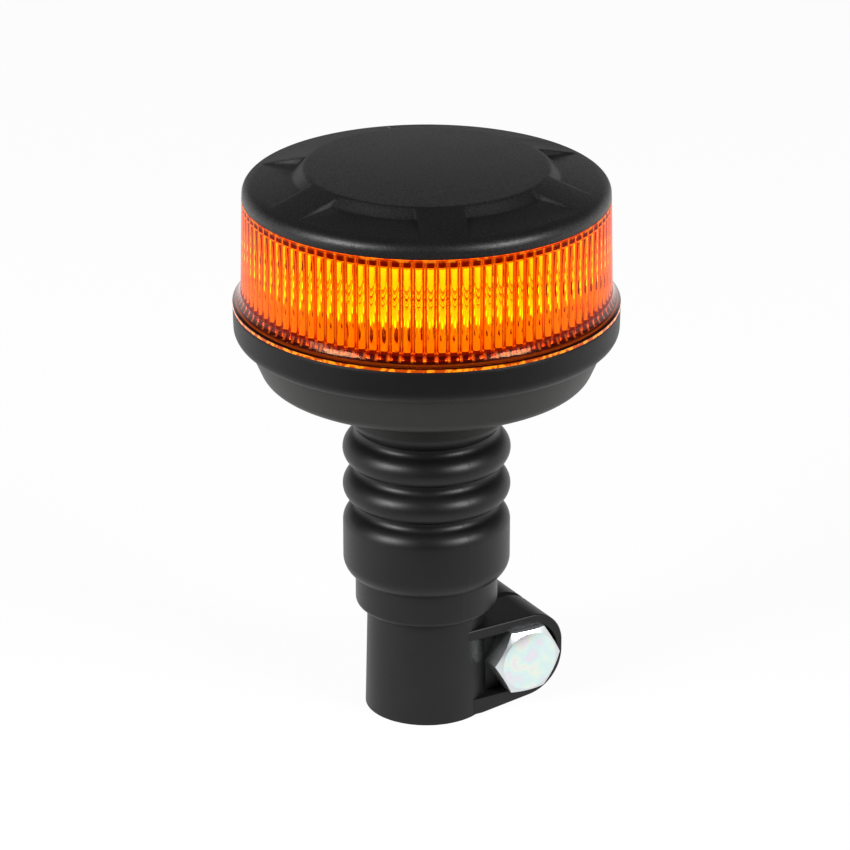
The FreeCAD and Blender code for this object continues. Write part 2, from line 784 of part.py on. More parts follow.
# Rubber stem: sleeve, barrel and two bellows rings in one moulding, hollow for the leads
stem = new_body("flex_stem")
bulge = Curve(s.bellows_ring_radius, 1)
flare_run = s.barrel_radius - s.sleeve_radius
flare_round = (flare_run * flare_run + s.barrel_flare * s.barrel_flare) / (2 * flare_run)
stem_outline = [
    (neck_radius + s.stem_fit, s.tube_height),
    (s.sleeve_radius, s.tube_height),
    (s.sleeve_radius, sleeve_top, Curve(flare_round, 1)),
    (s.barrel_radius, barrel_base),
    (s.barrel_radius, barrel_top, bulge),
    (groove_radius, barrel_top + ring_half),
]
for step in (1, 2):
    centre = barrel_top + step * s.bellows_pitch
    stem_outline += [(groove_radius, centre - ring_half, bulge), (groove_radius, centre + ring_half)]
bush_recess = s.bush_flange_radius + s.stem_fit
stem_outline += [
    (groove_radius, flare_base),
    (s.collar_radius, stem_top - s.stem_top_lip),
    (s.collar_radius, stem_top),
    (bush_recess, stem_top),
    (bush_recess, stem_top - s.bush_flange_thickness),
    (s.stem_bore_radius, stem_top - s.bush_flange_thickness),
    (s.stem_bore_radius, neck_top + s.stem_throat),
    (neck_radius + s.stem_fit, neck_top + s.stem_throat - (neck_radius + s.stem_fit - s.stem_bore_radius)),
    (neck_radius + s.stem_fit, bead_top + s.stem_fit),
    (neck_radius + s.bead_rise + s.stem_fit, bead_top - s.bead_width / 2 + s.stem_fit),
    (neck_radius + s.bead_rise + s.stem_fit, bead_top - s.bead_width - s.stem_fit),
    (neck_radius + s.stem_fit, bead_top - s.bead_width - s.stem_fit),
]
revolve(stem, "stem_turn", stem_outline)
round_edges(stem, "sleeve_edge", s.sleeve_round, ring_at(s.sleeve_radius, s.tube_height))
groove_feet = [ring_at(groove_radius, barrel_top + step * s.bellows_pitch + ring_half) for step in (0, 1, 2)]
round_edges(stem, "groove_feet", s.groove_round, lambda edge: any(foot(edge) for foot in groove_feet))

# Bush, washer and nut that hold the stem in the bowl, and the two leads
bush = new_body("stem_bush")
flange_base = stem_top - s.bush_flange_thickness
bush_top = bowl_floor_top + s.bush_reach
revolve(bush, "bush_turn", [
    (s.bush_bore_radius, flange_base),
    (s.bush_flange_radius, flange_base),
    (s.bush_flange_radius, stem_top),
    (s.bush_radius, stem_top),
    (s.bush_radius, bush_top),
    (s.bush_bore_radius, bush_top),
])
bush_hole = s.bush_radius + s.gasket_fit
ring_piece("stem_washer", bush_hole, s.stem_washer_radius, bowl_floor_top, s.stem_washer_thickness)
stem_nut_base = bowl_floor_top + s.stem_washer_thickness
nut_blank = primitive("Prism", "stem_nut_blank", z=stem_nut_base,
                      Circumradius=s.stem_nut_flats / math.sqrt(3), Height=s.stem_nut_height)
nut_thread = primitive("Cylinder", "stem_nut_thread", z=stem_nut_base - CUT_MARGIN,
                       Radius=bush_hole, Height=s.stem_nut_height + 2 * CUT_MARGIN)
node(less("stem_nut", nut_blank, nut_thread), "stem_nut")


def lead(label, path, foot):
    """An insulated wire along a path in the plane of the return tongue."""
    body = new_body(label)
    spine = sketch(body, label + "_path", "YZ_Plane", [path], closed=False)
    section = sketch(body, label + "_section", "XY_Plane", [Circle(0, foot[0], s.lead_radius)], lift=foot[1])
    pipe = body.newObject("PartDesign::AdditivePipe", label + "_pipe")
    pipe.Profile = section
    pipe.Spine = (spine, [f"Edge{number + 1}" for number in range(len(path) - 1)])
    return body


lead("live_lead", [(0, terminal_top), (0, driver_base)], (0, terminal_top))
bend_base = tongue_top + s.lead_first_run
slant_run = tongue_radius - s.return_lead_offset
slant = root(slant_run * slant_run + s.lead_slant_rise * s.lead_slant_rise)
lower_cut = BEND_SHARE * s.lead_first_run
upper_cut = BEND_SHARE * slant
half_turn = (slant - s.lead_slant_rise) / slant_run
sideways, upward = slant_run / slant, s.lead_slant_rise / slant
bend_top = bend_base + s.lead_slant_rise
lower_bend = Curve(lower_cut / half_turn, 1)
upper_bend = Curve(upper_cut / half_turn, -1)
lead("return_lead", [
    (tongue_radius, tongue_top),
    (tongue_radius, bend_base - lower_cut, lower_bend),
    (tongue_radius - lower_cut * sideways, bend_base + lower_cut * upward),
    (s.return_lead_offset + upper_cut * sideways, bend_top - upper_cut * upward, upper_bend),
    (s.return_lead_offset, bend_top + upper_cut),
    (s.return_lead_offset, driver_base),
], (tongue_radius, tongue_top))

# Bowl: collar below, sloping wall, bosses inside for its own screws and the driver board
adapter = new_body("mount_adapter")
wall_slope = (bowl_rim_radius - bowl_floor_radius) / s.bowl_height
bowl_inner_floor = bowl_floor_radius - s.bowl_wall + wall_slope * s.bowl_wall
adapter_gasket_radius = bowl_rim_radius - s.bowl_wall / 2
thin_half = s.thin_gasket_width / 2
revolve(adapter, "bowl_turn", [
    (bush_hole, stem_top),
    (s.collar_radius, stem_top),
    (s.collar_radius, bowl_base),
    (bowl_floor_radius, bowl_base),
    (bowl_rim_radius, base_bottom),
    (adapter_gasket_radius + thin_half, base_bottom),
    (adapter_gasket_radius + thin_half, base_bottom - s.gasket_thickness),
    (adapter_gasket_radius - thin_half, base_bottom - s.gasket_thickness),
    (adapter_gasket_radius - thin_half, base_bottom),
    (bowl_inner_rim, base_bottom),
    (bowl_inner_floor, bowl_floor_top),
    (bush_hole, bowl_floor_top),
])
round_edges(adapter, "bowl_edge", s.bowl_round, ring_at(bowl_floor_radius, bowl_base))
extrude(adapter, "rim_bosses", "XY_Plane", circles(adapter_screw_spots, s.boss_radius),
        base_bottom - bowl_floor_top, lift=bowl_floor_top)
extrude(adapter, "driver_bosses", "XY_Plane", circles(driver_screw_spots, s.boss_radius),
        driver_base - bowl_floor_top, lift=bowl_floor_top)
cut_up(adapter, "rim_boss_holes", circles(adapter_screw_spots, screw_hole),
       base_bottom - s.screw_grip, s.screw_grip + CUT_MARGIN)
cut_up(adapter, "driver_boss_holes", circles(driver_screw_spots, screw_hole),
       driver_base - s.screw_grip, s.screw_grip + CUT_MARGIN)
ring_piece("adapter_gasket", adapter_gasket_radius - thin_half + s.gasket_fit,
           adapter_gasket_radius + thin_half - s.gasket_fit,
           base_bottom - s.gasket_thickness, s.gasket_thickness)

# Base housing: a dish that carries the lens, with an upstand inside it, and a floor ring with bosses
base = new_body("base_housing")
base_foot_radius = s.base_radius - s.base_draft
gasket_half = s.gasket_width / 2
revolve(base, "base_turn", [
    (base_opening_radius, base_bottom),
    (base_foot_radius, base_bottom),
    (s.base_radius, base_top),
    (lens_gasket_radius + gasket_half, base_top),
    (lens_gasket_radius + gasket_half, base_top - s.gasket_thickness),
    (lens_gasket_radius - gasket_half, base_top - s.gasket_thickness),
    (lens_gasket_radius - gasket_half, base_top),
    (register_radius, base_top),
    (register_radius, base_top + s.rim_height),
    (base_inner_radius, base_top + s.rim_height),
    (base_inner_radius, base_floor_top),
    (base_opening_radius, base_floor_top),
])
round_edges(base, "base_edge", s.base_round, ring_at(base_foot_radius, base_bottom))
extrude(base, "board_bosses", "XY_Plane", circles(board_screw_spots, s.boss_radius),
        s.standoff_height, lift=base_floor_top)
adapter_head_seat = base_floor_top - s.screw_head_height
cut_up(base, "adapter_screw_holes", circles(adapter_screw_spots, screw_hole),
       base_bottom - CUT_MARGIN, s.base_floor + 2 * CUT_MARGIN)
cut_up(base, "adapter_head_sinks", circles(adapter_screw_spots, s.screw_head_radius + s.screw_clearance),
       adapter_head_seat, s.screw_head_height + CUT_MARGIN)
board_hole_depth = s.base_floor + s.standoff_height - s.board_hole_floor
cut_up(base, "board_screw_holes", circles(board_screw_spots, screw_hole),
       sink_base - board_hole_depth, board_hole_depth + CUT_MARGIN)
screws("adapter_screws", adapter_screw_spots, adapter_head_seat,
       adapter_head_seat - base_bottom + s.screw_grip - s.screw_clearance)
ring_piece("lens_gasket", lens_gasket_radius - gasket_half + s.gasket_fit,
           lens_gasket_radius + gasket_half - s.gasket_fit,
           base_top - s.gasket_thickness, s.gasket_thickness)

# Boards and heat sink, each a disc with clearance holes for the screws that pass it
led_stack_holes = circles(board_screw_spots + post_spots, screw_hole)


def disc(label, radius, base_level, thickness, holes):
    body = new_body(label)
    extrude(body, label + "_plate", "XY_Plane", [Circle(0, 0, radius)] + holes, thickness, lift=base_level)
    return body


disc("heat_sink", board_radius, sink_base, s.sink_thickness, led_stack_holes)
disc("led_board", board_radius, board_base, s.board_thickness, led_stack_holes)
screws("board_screws", board_screw_spots, board_top,
       s.board_thickness + s.sink_thickness + board_hole_depth - s.screw_clearance)
disc("driver_board", driver_radius, driver_base, s.board_thickness,
     circles(driver_screw_spots, screw_hole))
screws("driver_screws", driver_screw_spots, driver_base + s.board_thickness,
       s.board_thickness + s.screw_grip - s.screw_clearance)

packages = []
for index, (x, y) in enumerate(ring_of_spots(s.led_circle, LEDS)):
    body_box = primitive("Box", f"led_box_{index}", x - s.led_width / 2, y - s.led_width / 2, board_top,
                         Length=s.led_width, Width=s.led_width, Height=s.led_height)
    dome = primitive("Sphere", f"led_dome_{index}", x, y, board_top + s.led_height, Radius=s.led_dome_radius)
    dome.Angle1 = 0
    packages.append(joined(f"led_{index}", [body_box, dome]))
group("leds", packages)


def component(kind, name, circle, angle, base, height, **sizes):
    """A part of a circuit, at this angle on a circle."""
    x, y = polar(circle, angle)
    if kind == "Box":
        x, y = x - sizes["Length"] / 2, y - sizes["Width"] / 2
    return primitive(kind, name, x, y, base, Height=height, **sizes)


def chip(name, circle, angle, base):
    return component("Box", name, circle, angle, base, s.chip_height,
                     Length=s.chip_length, Width=s.chip_width)


def resistor(name, angle):
    return component("Box", name, s.string_circle, angle, board_top, s.resistor_height,
                     Length=s.resistor_length, Width=s.resistor_width)


group("board_chips", [chip(f"string_chip_{angle}", s.string_circle, angle, board_top)
                      for angle in STRING_CHIP_ANGLES])
group("board_resistors", [resistor(f"resistor_{angle}_{turn}", angle + turn)
                          for angle in STRING_CHIP_ANGLES for turn in RESISTOR_TURNS])


def can(name, angle, radius, height):
    """A round component that hangs under the driver board."""
    return component("Cylinder", name, component_circle, angle, driver_base - height, height, Radius=radius)


group("driver_capacitors", [can(f"capacitor_{angle}", angle, s.capacitor_radius, s.capacitor_height)
                            for angle in CAPACITOR_ANGLES])
node(can("choke", CHOKE_ANGLE, s.choke_radius, s.choke_height), "driver_choke")
group("driver_chips", [chip(f"chip_{angle}", component_circle, angle, driver_base - s.chip_height)
                       for angle in CHIP_ANGLES])

# Lens: a turned wall with a flared foot, and a ring of round-faced flutes up its inside
lens = new_body("lens")
flare_top = base_top + s.lens_flare_height
revolve(lens, "lens_wall", [
    (lens_bore_radius, base_top),
    (s.base_radius, base_top),
    (s.base_radius, base_top + s.lens_flange_edge, Curve(s.lens_flare_radius, -1)),
    (lens_foot_radius, flare_top),
    (lens_top_radius, lens_top),
    (lens_bore_radius + s.lens_lead_in, lens_top),
    (lens_bore_radius, lens_top - s.lens_lead_in),
])
flute_half = math.pi * lens_bore_radius / s.flute_count - s.flute_land / 2
flute_round = (flute_half * flute_half + s.flute_depth * s.flute_depth) / (2 * s.flute_depth)
flute_edge = root(lens_bore_radius * lens_bore_radius - flute_half * flute_half)
flute_anchor = lens_bore_radius + s.flute_depth
flute = extrude(lens, "flute", "XY_Plane", [[
    (flute_anchor, -flute_half),
    (flute_anchor, flute_half),
    (flute_edge, flute_half, Curve(flute_round, 1)),
    (flute_edge, -flute_half),
]], s.lens_height - s.lens_lead_in - s.flute_foot, lift=base_top + s.flute_foot)
flutes = around(lens, flute, 2)
bind(flutes, "Occurrences", s.flute_count)

# Reflector: a trumpet that turns the light of the LEDs outward, with three ring beads round its foot
reflector = new_body("reflector")
rim_radius = flute_tip_radius - s.reflector_rim_gap
foot_inner = s.reflector_foot_radius - s.reflector_wall
bead_base = board_top + s.reflector_foot_height
bead = Curve(s.reflector_bead_round, 1)
trumpet = Curve(s.reflector_curve, -1)
inside = Curve(s.reflector_curve + s.reflector_wall, 1)
reflector_outline = [(foot_inner, board_top), (s.reflector_foot_radius, board_top)]
for step in range(REFLECTOR_BEADS):
    bead_radius = s.reflector_foot_radius + step * s.reflector_bead_lean
    reflector_outline.append((bead_radius, bead_base + step * s.reflector_bead_rise, bead))
trumpet_radius = s.reflector_foot_radius + REFLECTOR_BEADS * s.reflector_bead_lean
reflector_outline += [
    (trumpet_radius, bead_base + REFLECTOR_BEADS * s.reflector_bead_rise, trumpet),
    (rim_radius, register_base - s.reflector_rim),
    (rim_radius, register_base),
    (rim_radius - s.register_width, register_base, inside),
    (foot_inner, bead_base),
]
revolve(reflector, "reflector_turn", reflector_outline)

# Cap: a lid with a register ring that enters the lens, three posts for the long screws, and six pockets
shell = doc.addObject("PartDesign::Body", "cap_shell")
register_inner = register_radius - s.register_width
cap_gasket_radius = (lens_bore_radius + s.lens_lead_in + lens_top_radius) / 2
crown_radius = (disc_radius * disc_radius + s.cap_crown * s.cap_crown) / (2 * s.cap_crown)
pocket_foot = disc_radius + s.pocket_ramp
pocket_floor = disc_height - s.pocket_depth
cap_underside = pocket_floor - s.cap_wall - s.pocket_fall * (register_inner - pocket_foot)
revolve(shell, "cap_turn", [
    (0, disc_height - s.cap_wall),
    (disc_radius - s.cap_wall, disc_height - s.cap_wall),
    (disc_radius - s.cap_wall, cap_underside),
    (register_inner, cap_underside),
    (register_inner, register_base),
    (register_radius, register_base),
    (register_radius, lens_top),
    (cap_gasket_radius - thin_half, lens_top),
    (cap_gasket_radius - thin_half, lens_top + s.gasket_thickness),
    (cap_gasket_radius + thin_half, lens_top + s.gasket_thickness),
    (cap_gasket_radius + thin_half, lens_top),
    (cap_radius, lens_top),
    (cap_radius, cap_corner),
    (disc_radius, disc_height, Curve(crown_radius, 1)),
    (0, disc_height + s.cap_crown),
])
round_edges(shell, "cap_shoulder", s.cap_round, ring_at(cap_radius, cap_corner))
post_length = disc_height - s.cap_wall / 2 - board_top
extrude(shell, "posts", "XY_Plane", circles(post_spots, s.post_radius), post_length, lift=board_top)
cut_up(shell, "post_holes", circles(post_spots, screw_hole), board_top, s.head_screw_reach)

pocket_ring = doc.addObject("PartDesign::Body", "pocket_ring")
pocket_top = disc_height + CUT_MARGIN
ramp_slope = (s.pocket_ramp - s.pocket_start) / s.pocket_depth
revolve(pocket_ring, "pocket_turn", [
    (disc_radius + s.pocket_start - ramp_slope * CUT_MARGIN, pocket_top),
    (pocket_foot, pocket_floor),
    (cap_radius, pocket_floor - s.pocket_fall * (cap_radius - pocket_foot)),
    (cap_radius, pocket_top),
])
spokes = doc.addObject("PartDesign::Body", "cap_spokes")
spoke_half = s.spoke_width / 2
spoke_end = cap_radius + CUT_MARGIN
spoke = extrude(spokes, "spoke", "XY_Plane", [[
    (0, -spoke_half),
    (spoke_end, -spoke_half),
    (spoke_end, spoke_half),
    (0, spoke_half),
]], pocket_top + CUT_MARGIN - lens_top, lift=lens_top)
around(spokes, spoke, POCKETS)
spokes.Placement.Rotation = FreeCAD.Rotation(FreeCAD.Vector(0, 0, 1), s.spoke_angle.value)
bind(spokes, "Placement.Rotation.Angle", s.spoke_angle)
pockets = less("cap_pockets", pocket_ring, spokes)
node(less("top_cap", shell, pockets), "top_cap")
ring_piece("cap_gasket", cap_gasket_radius - thin_half + s.gasket_fit,
           cap_gasket_radius + thin_half - s.gasket_fit, lens_top, s.gasket_thickness)
screws("head_screws", post_spots, sink_base,
       board_top - sink_base + s.head_screw_reach - s.screw_clearance, up_side=-1)

doc.recompute()
failed = [thing.Name for thing in doc.Objects if {"Invalid", "Error"} & set(thing.State)]
if failed:
    raise RuntimeError("failed features: " + ", ".join(failed))
for piece in nodes:
    if piece.Shape.isNull() or not piece.Shape.isValid() or not piece.Shape.Solids:
        raise RuntimeError("bad shape: " + piece.Label)

os.makedirs("parts", exist_ok=True)
for piece in nodes:
    piece.Shape.exportStep(f"parts/{piece.Label}.step")
    box = piece.Shape.BoundBox
    print(f"{piece.Label}: {len(piece.Shape.Solids)} solids, {piece.Shape.Volume:.1f} mm3,"
          f" z {box.ZMin:.2f} to {box.ZMax:.2f}")
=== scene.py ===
import math

import bpy
from mathutils import Matrix, Vector


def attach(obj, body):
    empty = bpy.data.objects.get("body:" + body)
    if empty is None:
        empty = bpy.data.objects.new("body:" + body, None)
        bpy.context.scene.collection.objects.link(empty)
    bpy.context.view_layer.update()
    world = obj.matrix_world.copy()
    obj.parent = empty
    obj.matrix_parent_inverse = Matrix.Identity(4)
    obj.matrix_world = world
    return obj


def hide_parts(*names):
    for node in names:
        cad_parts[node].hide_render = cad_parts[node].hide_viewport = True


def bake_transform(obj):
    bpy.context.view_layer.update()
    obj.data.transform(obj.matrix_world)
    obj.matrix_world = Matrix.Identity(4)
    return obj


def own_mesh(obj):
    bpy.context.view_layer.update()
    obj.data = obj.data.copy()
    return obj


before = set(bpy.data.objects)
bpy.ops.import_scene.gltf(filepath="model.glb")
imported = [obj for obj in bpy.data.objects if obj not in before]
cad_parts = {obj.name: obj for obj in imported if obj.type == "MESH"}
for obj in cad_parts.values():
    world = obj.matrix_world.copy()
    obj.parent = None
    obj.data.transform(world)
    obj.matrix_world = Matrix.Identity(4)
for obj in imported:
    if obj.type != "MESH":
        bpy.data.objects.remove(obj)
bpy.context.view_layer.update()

# Amber warning beacon: a lamp head on a rubber stem, over a clamp socket for a pole spigot.
# In metres, +Z up. The sections follow the object as it is put together, from the socket up to the cap.


# Clamp socket: the rigid lower end, a drafted tube with a split lug beside it.
# Glass-filled nylon, moulded in one piece and left with the mould's smooth matte face.
MM = 0.001


class Shade:
    """A value inside a finish: sums written with it become Math nodes."""

    def __init__(self, tree, socket=None):
        self.tree = tree
        self.socket = socket

    def node(self, kind, sockets=None, settings=None, output=0):
        """Add a node. Its settings come first, then the values or links of its sockets."""
        made = self.tree.nodes.new("ShaderNode" + kind)
        for name, value in (settings or {}).items():
            if name == "stops":
                ramp = made.color_ramp.elements
                while len(ramp) < len(value):
                    ramp.new(1.0)
                for stop, (position, colour) in zip(ramp, value):
                    stop.position = position
                    stop.color = colour
            else:
                setattr(made, name, value)
        for name, value in (sockets or {}).items():
            if isinstance(value, Shade):
                self.tree.links.new(value.socket, made.inputs[name])
            else:
                made.inputs[name].default_value = value
        return Shade(self.tree, made.outputs[output])

    def other(self, name):
        """Another output of the same node."""
        return Shade(self.tree, self.socket.node.outputs[name])

    def maths(self, operation, first, second):
        """One Math node on two values."""
        return self.node("Math", {0: first, 1: second}, {"operation": operation})

    def __add__(self, other):
        return self.maths("ADD", self, other)

    def __radd__(self, other):
        return self.maths("ADD", other, self)

    def __sub__(self, other):
        return self.maths("SUBTRACT", self, other)

    def __rsub__(self, other):
        return self.maths("SUBTRACT", other, self)

    def __mul__(self, other):
        return self.maths("MULTIPLY", self, other)

    def __rmul__(self, other):
        return self.maths("MULTIPLY", other, self)

    def __or__(self, other):
        return self.maths("MAXIMUM", self, other)

    def between(self, low, high):
        """A colour that goes from one to the other as this value goes from 0 to 1."""
        return self.node("Mix", {0: self, 6: low, 7: high}, {"data_type": "RGBA"}, output=2)

    def place(self):
        """Where the point is on the object, in metres."""
        return self.node("TexCoord", output="Object")

    def along(self, axis):
        """How far the point lies along X, Y or Z."""
        return self.node("SeparateXYZ", {0: self.place()}, output=axis)

    def radius(self):
        """How far the point lies from the upright axis."""
        flat = self.node("VectorMath", {0: self.place(), 1: (1.0, 1.0, 0.0)}, {"operation": "MULTIPLY"})
        return self.node("VectorMath", {0: flat}, {"operation": "LENGTH"}, output="Value")

    def spots(self, size, detail=2.0, stretch=(1.0, 1.0, 1.0)):
        """Soft noise whose spots are about this large, in metres."""
        where = self.node("Mapping", {"Vector": self.place(), "Scale": stretch})
        return self.node("TexNoise", {"Vector": where, "Scale": 1.0 / size, "Detail": detail})

    def above(self, level, width):
        """0 below the level and 1 above it, with a soft step of this width."""
        sockets = {"Value": self, "From Min": level - width / 2, "From Max": level + width / 2}
        return self.node("MapRange", sockets)

    def below(self, level, width):
        """1 below the level and 0 above it, with a soft step of this width."""
        return 1.0 - self.above(level, width)

    def relief(self, depth, height, strength=1.0, under=None):
        """A surface that rises by this depth as the height goes from 0 to 1, over another where given."""
        sockets = {"Strength": strength, "Distance": depth, "Height": height}
        if under:
            sockets["Normal"] = under
        return self.node("Bump", sockets)

    def feed(self, shader, name):
        """Link this value to a socket of a shader."""
        self.tree.links.new(self.socket, shader.inputs[name])


def finish(name, constants):
    """A material with one Principled shader, whose constant values are set on its own sockets."""
    material = bpy.data.materials.new(name)
    material.use_nodes = True
    shader = material.node_tree.nodes["Principled BSDF"]
    for socket, value in constants.items():
        shader.inputs[socket].default_value = value
    return material, shader, Shade(material.node_tree)


def grey(level):
    """An opaque grey of this level."""
    return (level, level, level, 1.0)


def moulding(name, dark, light, roughness, grain, depth, specular):
    """A moulded finish: the colour drifts a little, and the grain of the mould breaks up its shine."""
    material, shader, shade = finish(name, {"Specular IOR Level": specular})
    drift = shade.spots(9 * MM, 4.0)
    drift.between(dark, light).feed(shader, "Base Color")
    pits = shade.spots(grain, 2.0)
    (roughness - 0.09 + 0.08 * drift + 0.10 * pits).feed(shader, "Roughness")
    shade.relief(depth, pits).feed(shader, "Normal")
    return material


def dress(material, *names):
    """Give CAD nodes their finish."""
    for name in names:
        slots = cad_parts[name].data.materials
        slots.clear()
        slots.append(material)


socket_plastic = moulding("socket_plastic", grey(0.004), grey(0.008), 0.44, 0.5 * MM, 0.018 * MM, 0.27)
dress(socket_plastic, "clamp_socket")


# Clamp bolt: M10 with a chamfered hexagon head that lies between the rails of the lug.
# Steel, cold headed, its far end rolled with a 1.5 mm thread, then bright zinc plated to a faint rainbow.
def lathe(name, rows, angles, material):
    """A closed piece turned about Z. A row gives a radius and a height, in millimetres, at each angle."""
    count = len(angles)
    points = []
    for row in rows:
        for angle in angles:
            radius, height = row(angle)
            points.append((radius * math.cos(angle) * MM, radius * math.sin(angle) * MM, height * MM))
    faces = []
    for low in range(len(rows)):
        high = (low + 1) % len(rows)
        for step in range(count):
            after = (step + 1) % count
            below, above = low * count, high * count
            faces.append((below + step, below + after, above + after, above + step))
    return piece_from(name, points, faces, material)


def piece_from(name, points, faces, material, sharp=35.0):
    """A smooth mesh piece whose edges stay crisp where its faces turn sharply."""
    mesh = bpy.data.meshes.new(name)
    mesh.from_pydata(points, [], faces)
    mesh.validate()
    mesh.materials.append(material)
    mesh.shade_smooth()
    mesh.set_sharp_from_angle(angle=math.radians(sharp))
    piece = bpy.data.objects.new(name, mesh)
    bpy.context.collection.objects.link(piece)
    return piece


def round_steps(count):
    """Even angles round a full turn."""
    return [2 * math.pi * step / count for step in range(count)]


def zinc_plate(name):
    """Bright zinc: the film is thick on the round face of the bolt's head, where it shows faint colours."""
    material, shader, shade = finish(name, {"Metallic": 1.0})
    cloud = shade.spots(5 * MM, 1.2)
    rainbow = shade.node("ValToRGB", {"Fac": cloud}, {"stops": [
        (0.36, (0.82, 0.80, 0.86, 1.0)),
        (0.44, (0.72, 0.88, 0.88, 1.0)),
        (0.52, (0.74, 0.91, 0.86, 1.0)),
        (0.58, (0.84, 0.90, 0.80, 1.0)),
        (0.66, (0.86, 0.82, 0.86, 1.0)),
    ]})
    centre = (BOLT_CENTRE[0] * MM, 0.0, BOLT_CENTRE[1] * MM)
    away = shade.node("VectorMath", {0: shade.place(), 1: centre}, {"operation": "SUBTRACT"})
    across = shade.node("VectorMath", {0: away, 1: (1.0, 0.0, 1.0)}, {"operation": "MULTIPLY"})
    reach = shade.node("VectorMath", {0: across}, {"operation": "LENGTH"}, output="Value")
    beyond_face = reach.above((HEAD_FACE - 0.1) * MM, 0.3 * MM)
    beyond_face.between(rainbow, (0.72, 0.75, 0.76, 1.0)).feed(shader, "Base Color")
    wear = shade.spots(0.4 * MM, 3.0)
    (0.16 + 0.16 * wear + 0.16 * beyond_face).feed(shader, "Roughness")
    shade.relief(0.008 * MM, wear, 0.4).feed(shader, "Normal")
    return material


BOLT_CENTRE = (21.0, 13.0)
BOLT_SEAT = -11.0
BOLT_RADIUS = 5.0
BOLT_LENGTH = 40.0
HEAD_HALF = 8.5
HEAD_FACE = 7.95
HEAD_HEIGHT = 6.4
CHAMFER_SLOPE = math.tan(math.radians(30))
FACE_STEP = 0.12
THREAD_START = 24.0
THREAD_PITCH = 1.5
THREAD_DEPTH = 0.92
THREAD_STEPS = 12
FLANK_SLOPE = 2.6
CREST_FLAT = 0.2
TIP_CHAMFER = 1.0
CENTRE_PIN = 0.02
BOLT_SIDES = 96


def hexagon_radius(angle):
    """How far out the flats of the head are at this angle, with a corner at angle 0."""
    sixth = math.pi / 3
    return HEAD_HALF / math.cos(angle % sixth - sixth / 2)


def head_rim(angle):
    """The row where the chamfer of the head runs out into its flats."""
    corner = hexagon_radius(angle)
    return corner, FACE_STEP - HEAD_HEIGHT + (corner - HEAD_FACE) * CHAMFER_SLOPE


def thread_row(height):
    """A row of the thread: a crest that climbs with the angle and fades in at its start."""
    def row(angle):
        phase = (height / THREAD_PITCH - angle / (2 * math.pi)) % 1.0
        groove = min(max(FLANK_SLOPE * min(phase, 1.0 - phase) - CREST_FLAT, 0.0), 1.0)
        fade = min(max((height - THREAD_START) / THREAD_PITCH, 0.0), 1.0)
        tip = max(0.0, height - BOLT_LENGTH + TIP_CHAMFER)
        return min(BOLT_RADIUS - THREAD_DEPTH * groove * fade, BOLT_RADIUS - tip), height
    return row


def at(radius, height):
    """A plain round row."""
    return lambda angle: (radius, height)


zinc = zinc_plate("zinc_steel")
thread_rows = int((BOLT_LENGTH - THREAD_START) / THREAD_PITCH * THREAD_STEPS)
bolt_rows = [
    at(CENTRE_PIN, -HEAD_HEIGHT),
    at(HEAD_FACE - 2 * FACE_STEP, -HEAD_HEIGHT),
    at(HEAD_FACE, FACE_STEP - HEAD_HEIGHT),
    head_rim,
    lambda angle: (hexagon_radius(angle), 0.0),
    at(BOLT_RADIUS, 0.0),
]
row_rise = THREAD_PITCH / THREAD_STEPS
bolt_rows += [thread_row(THREAD_START + row_rise * step) for step in range(thread_rows + 1)]
bolt_rows.append(at(CENTRE_PIN, BOLT_LENGTH))
bolt = lathe("clamp_bolt_threaded", bolt_rows, round_steps(BOLT_SIDES), zinc)
lay = Matrix.Translation(Vector((BOLT_CENTRE[0], BOLT_SEAT, BOLT_CENTRE[1])) * MM)
bolt.data.transform(lay @ Matrix.Rotation(-math.pi / 2, 4, "X"))
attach(bolt, "socket")
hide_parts("clamp_bolt")


# Clamp washer and nut on the far side of the lug, and the bush, washer and nut inside the bowl.
# Turned and stamped steel with the same zinc plate as the bolt.
dress(zinc, "clamp_washer", "clamp_nut", "stem_bush", "stem_washer", "stem_nut")


# Contact carrier: the insulator at the top of the socket's bore, pressed on the neck and screwed down.
# Natural nylon, a milky off-white moulding.
carrier_nylon = moulding("carrier_nylon", (0.62, 0.58, 0.48, 1.0), (0.70, 0.66, 0.56, 1.0),
                         0.45, 0.6 * MM, 0.006 * MM, 0.4)
dress(carrier_nylon, "contact_carrier")


# Live plunger, terminal strip and return ring: the parts that carry the current.
# Turned and stamped brass, a little dulled where it is handled.
brass, brass_shader, brass_shade = finish("contact_brass", {"Metallic": 1.0})
tarnish = brass_shade.spots(3 * MM, 4.0)
tarnish.between((0.80, 0.58, 0.24, 1.0), (0.66, 0.45, 0.17, 1.0)).feed(brass_shader, "Base Color")
(0.20 + 0.20 * tarnish).feed(brass_shader, "Roughness")
brass_lines = brass_shade.spots(0.5 * MM, 2.0, (1.0, 1.0, 6.0))
brass_shade.relief(0.004 * MM, brass_lines, 0.4).feed(brass_shader, "Normal")
dress(brass, "centre_contact", "terminal_plate", "earth_ring")


# Contact spring: five turns of spring wire between the plunger's head and the terminal strip.
# Hard drawn stainless wire, coiled cold.
SPRING_BASE = 43.5
SPRING_TOP = 49.5
SPRING_TURNS = 5.0
COIL_RADIUS = 3.2
WIRE_RADIUS = 0.3
TURN_STEPS = 40
WIRE_SIDES = 10


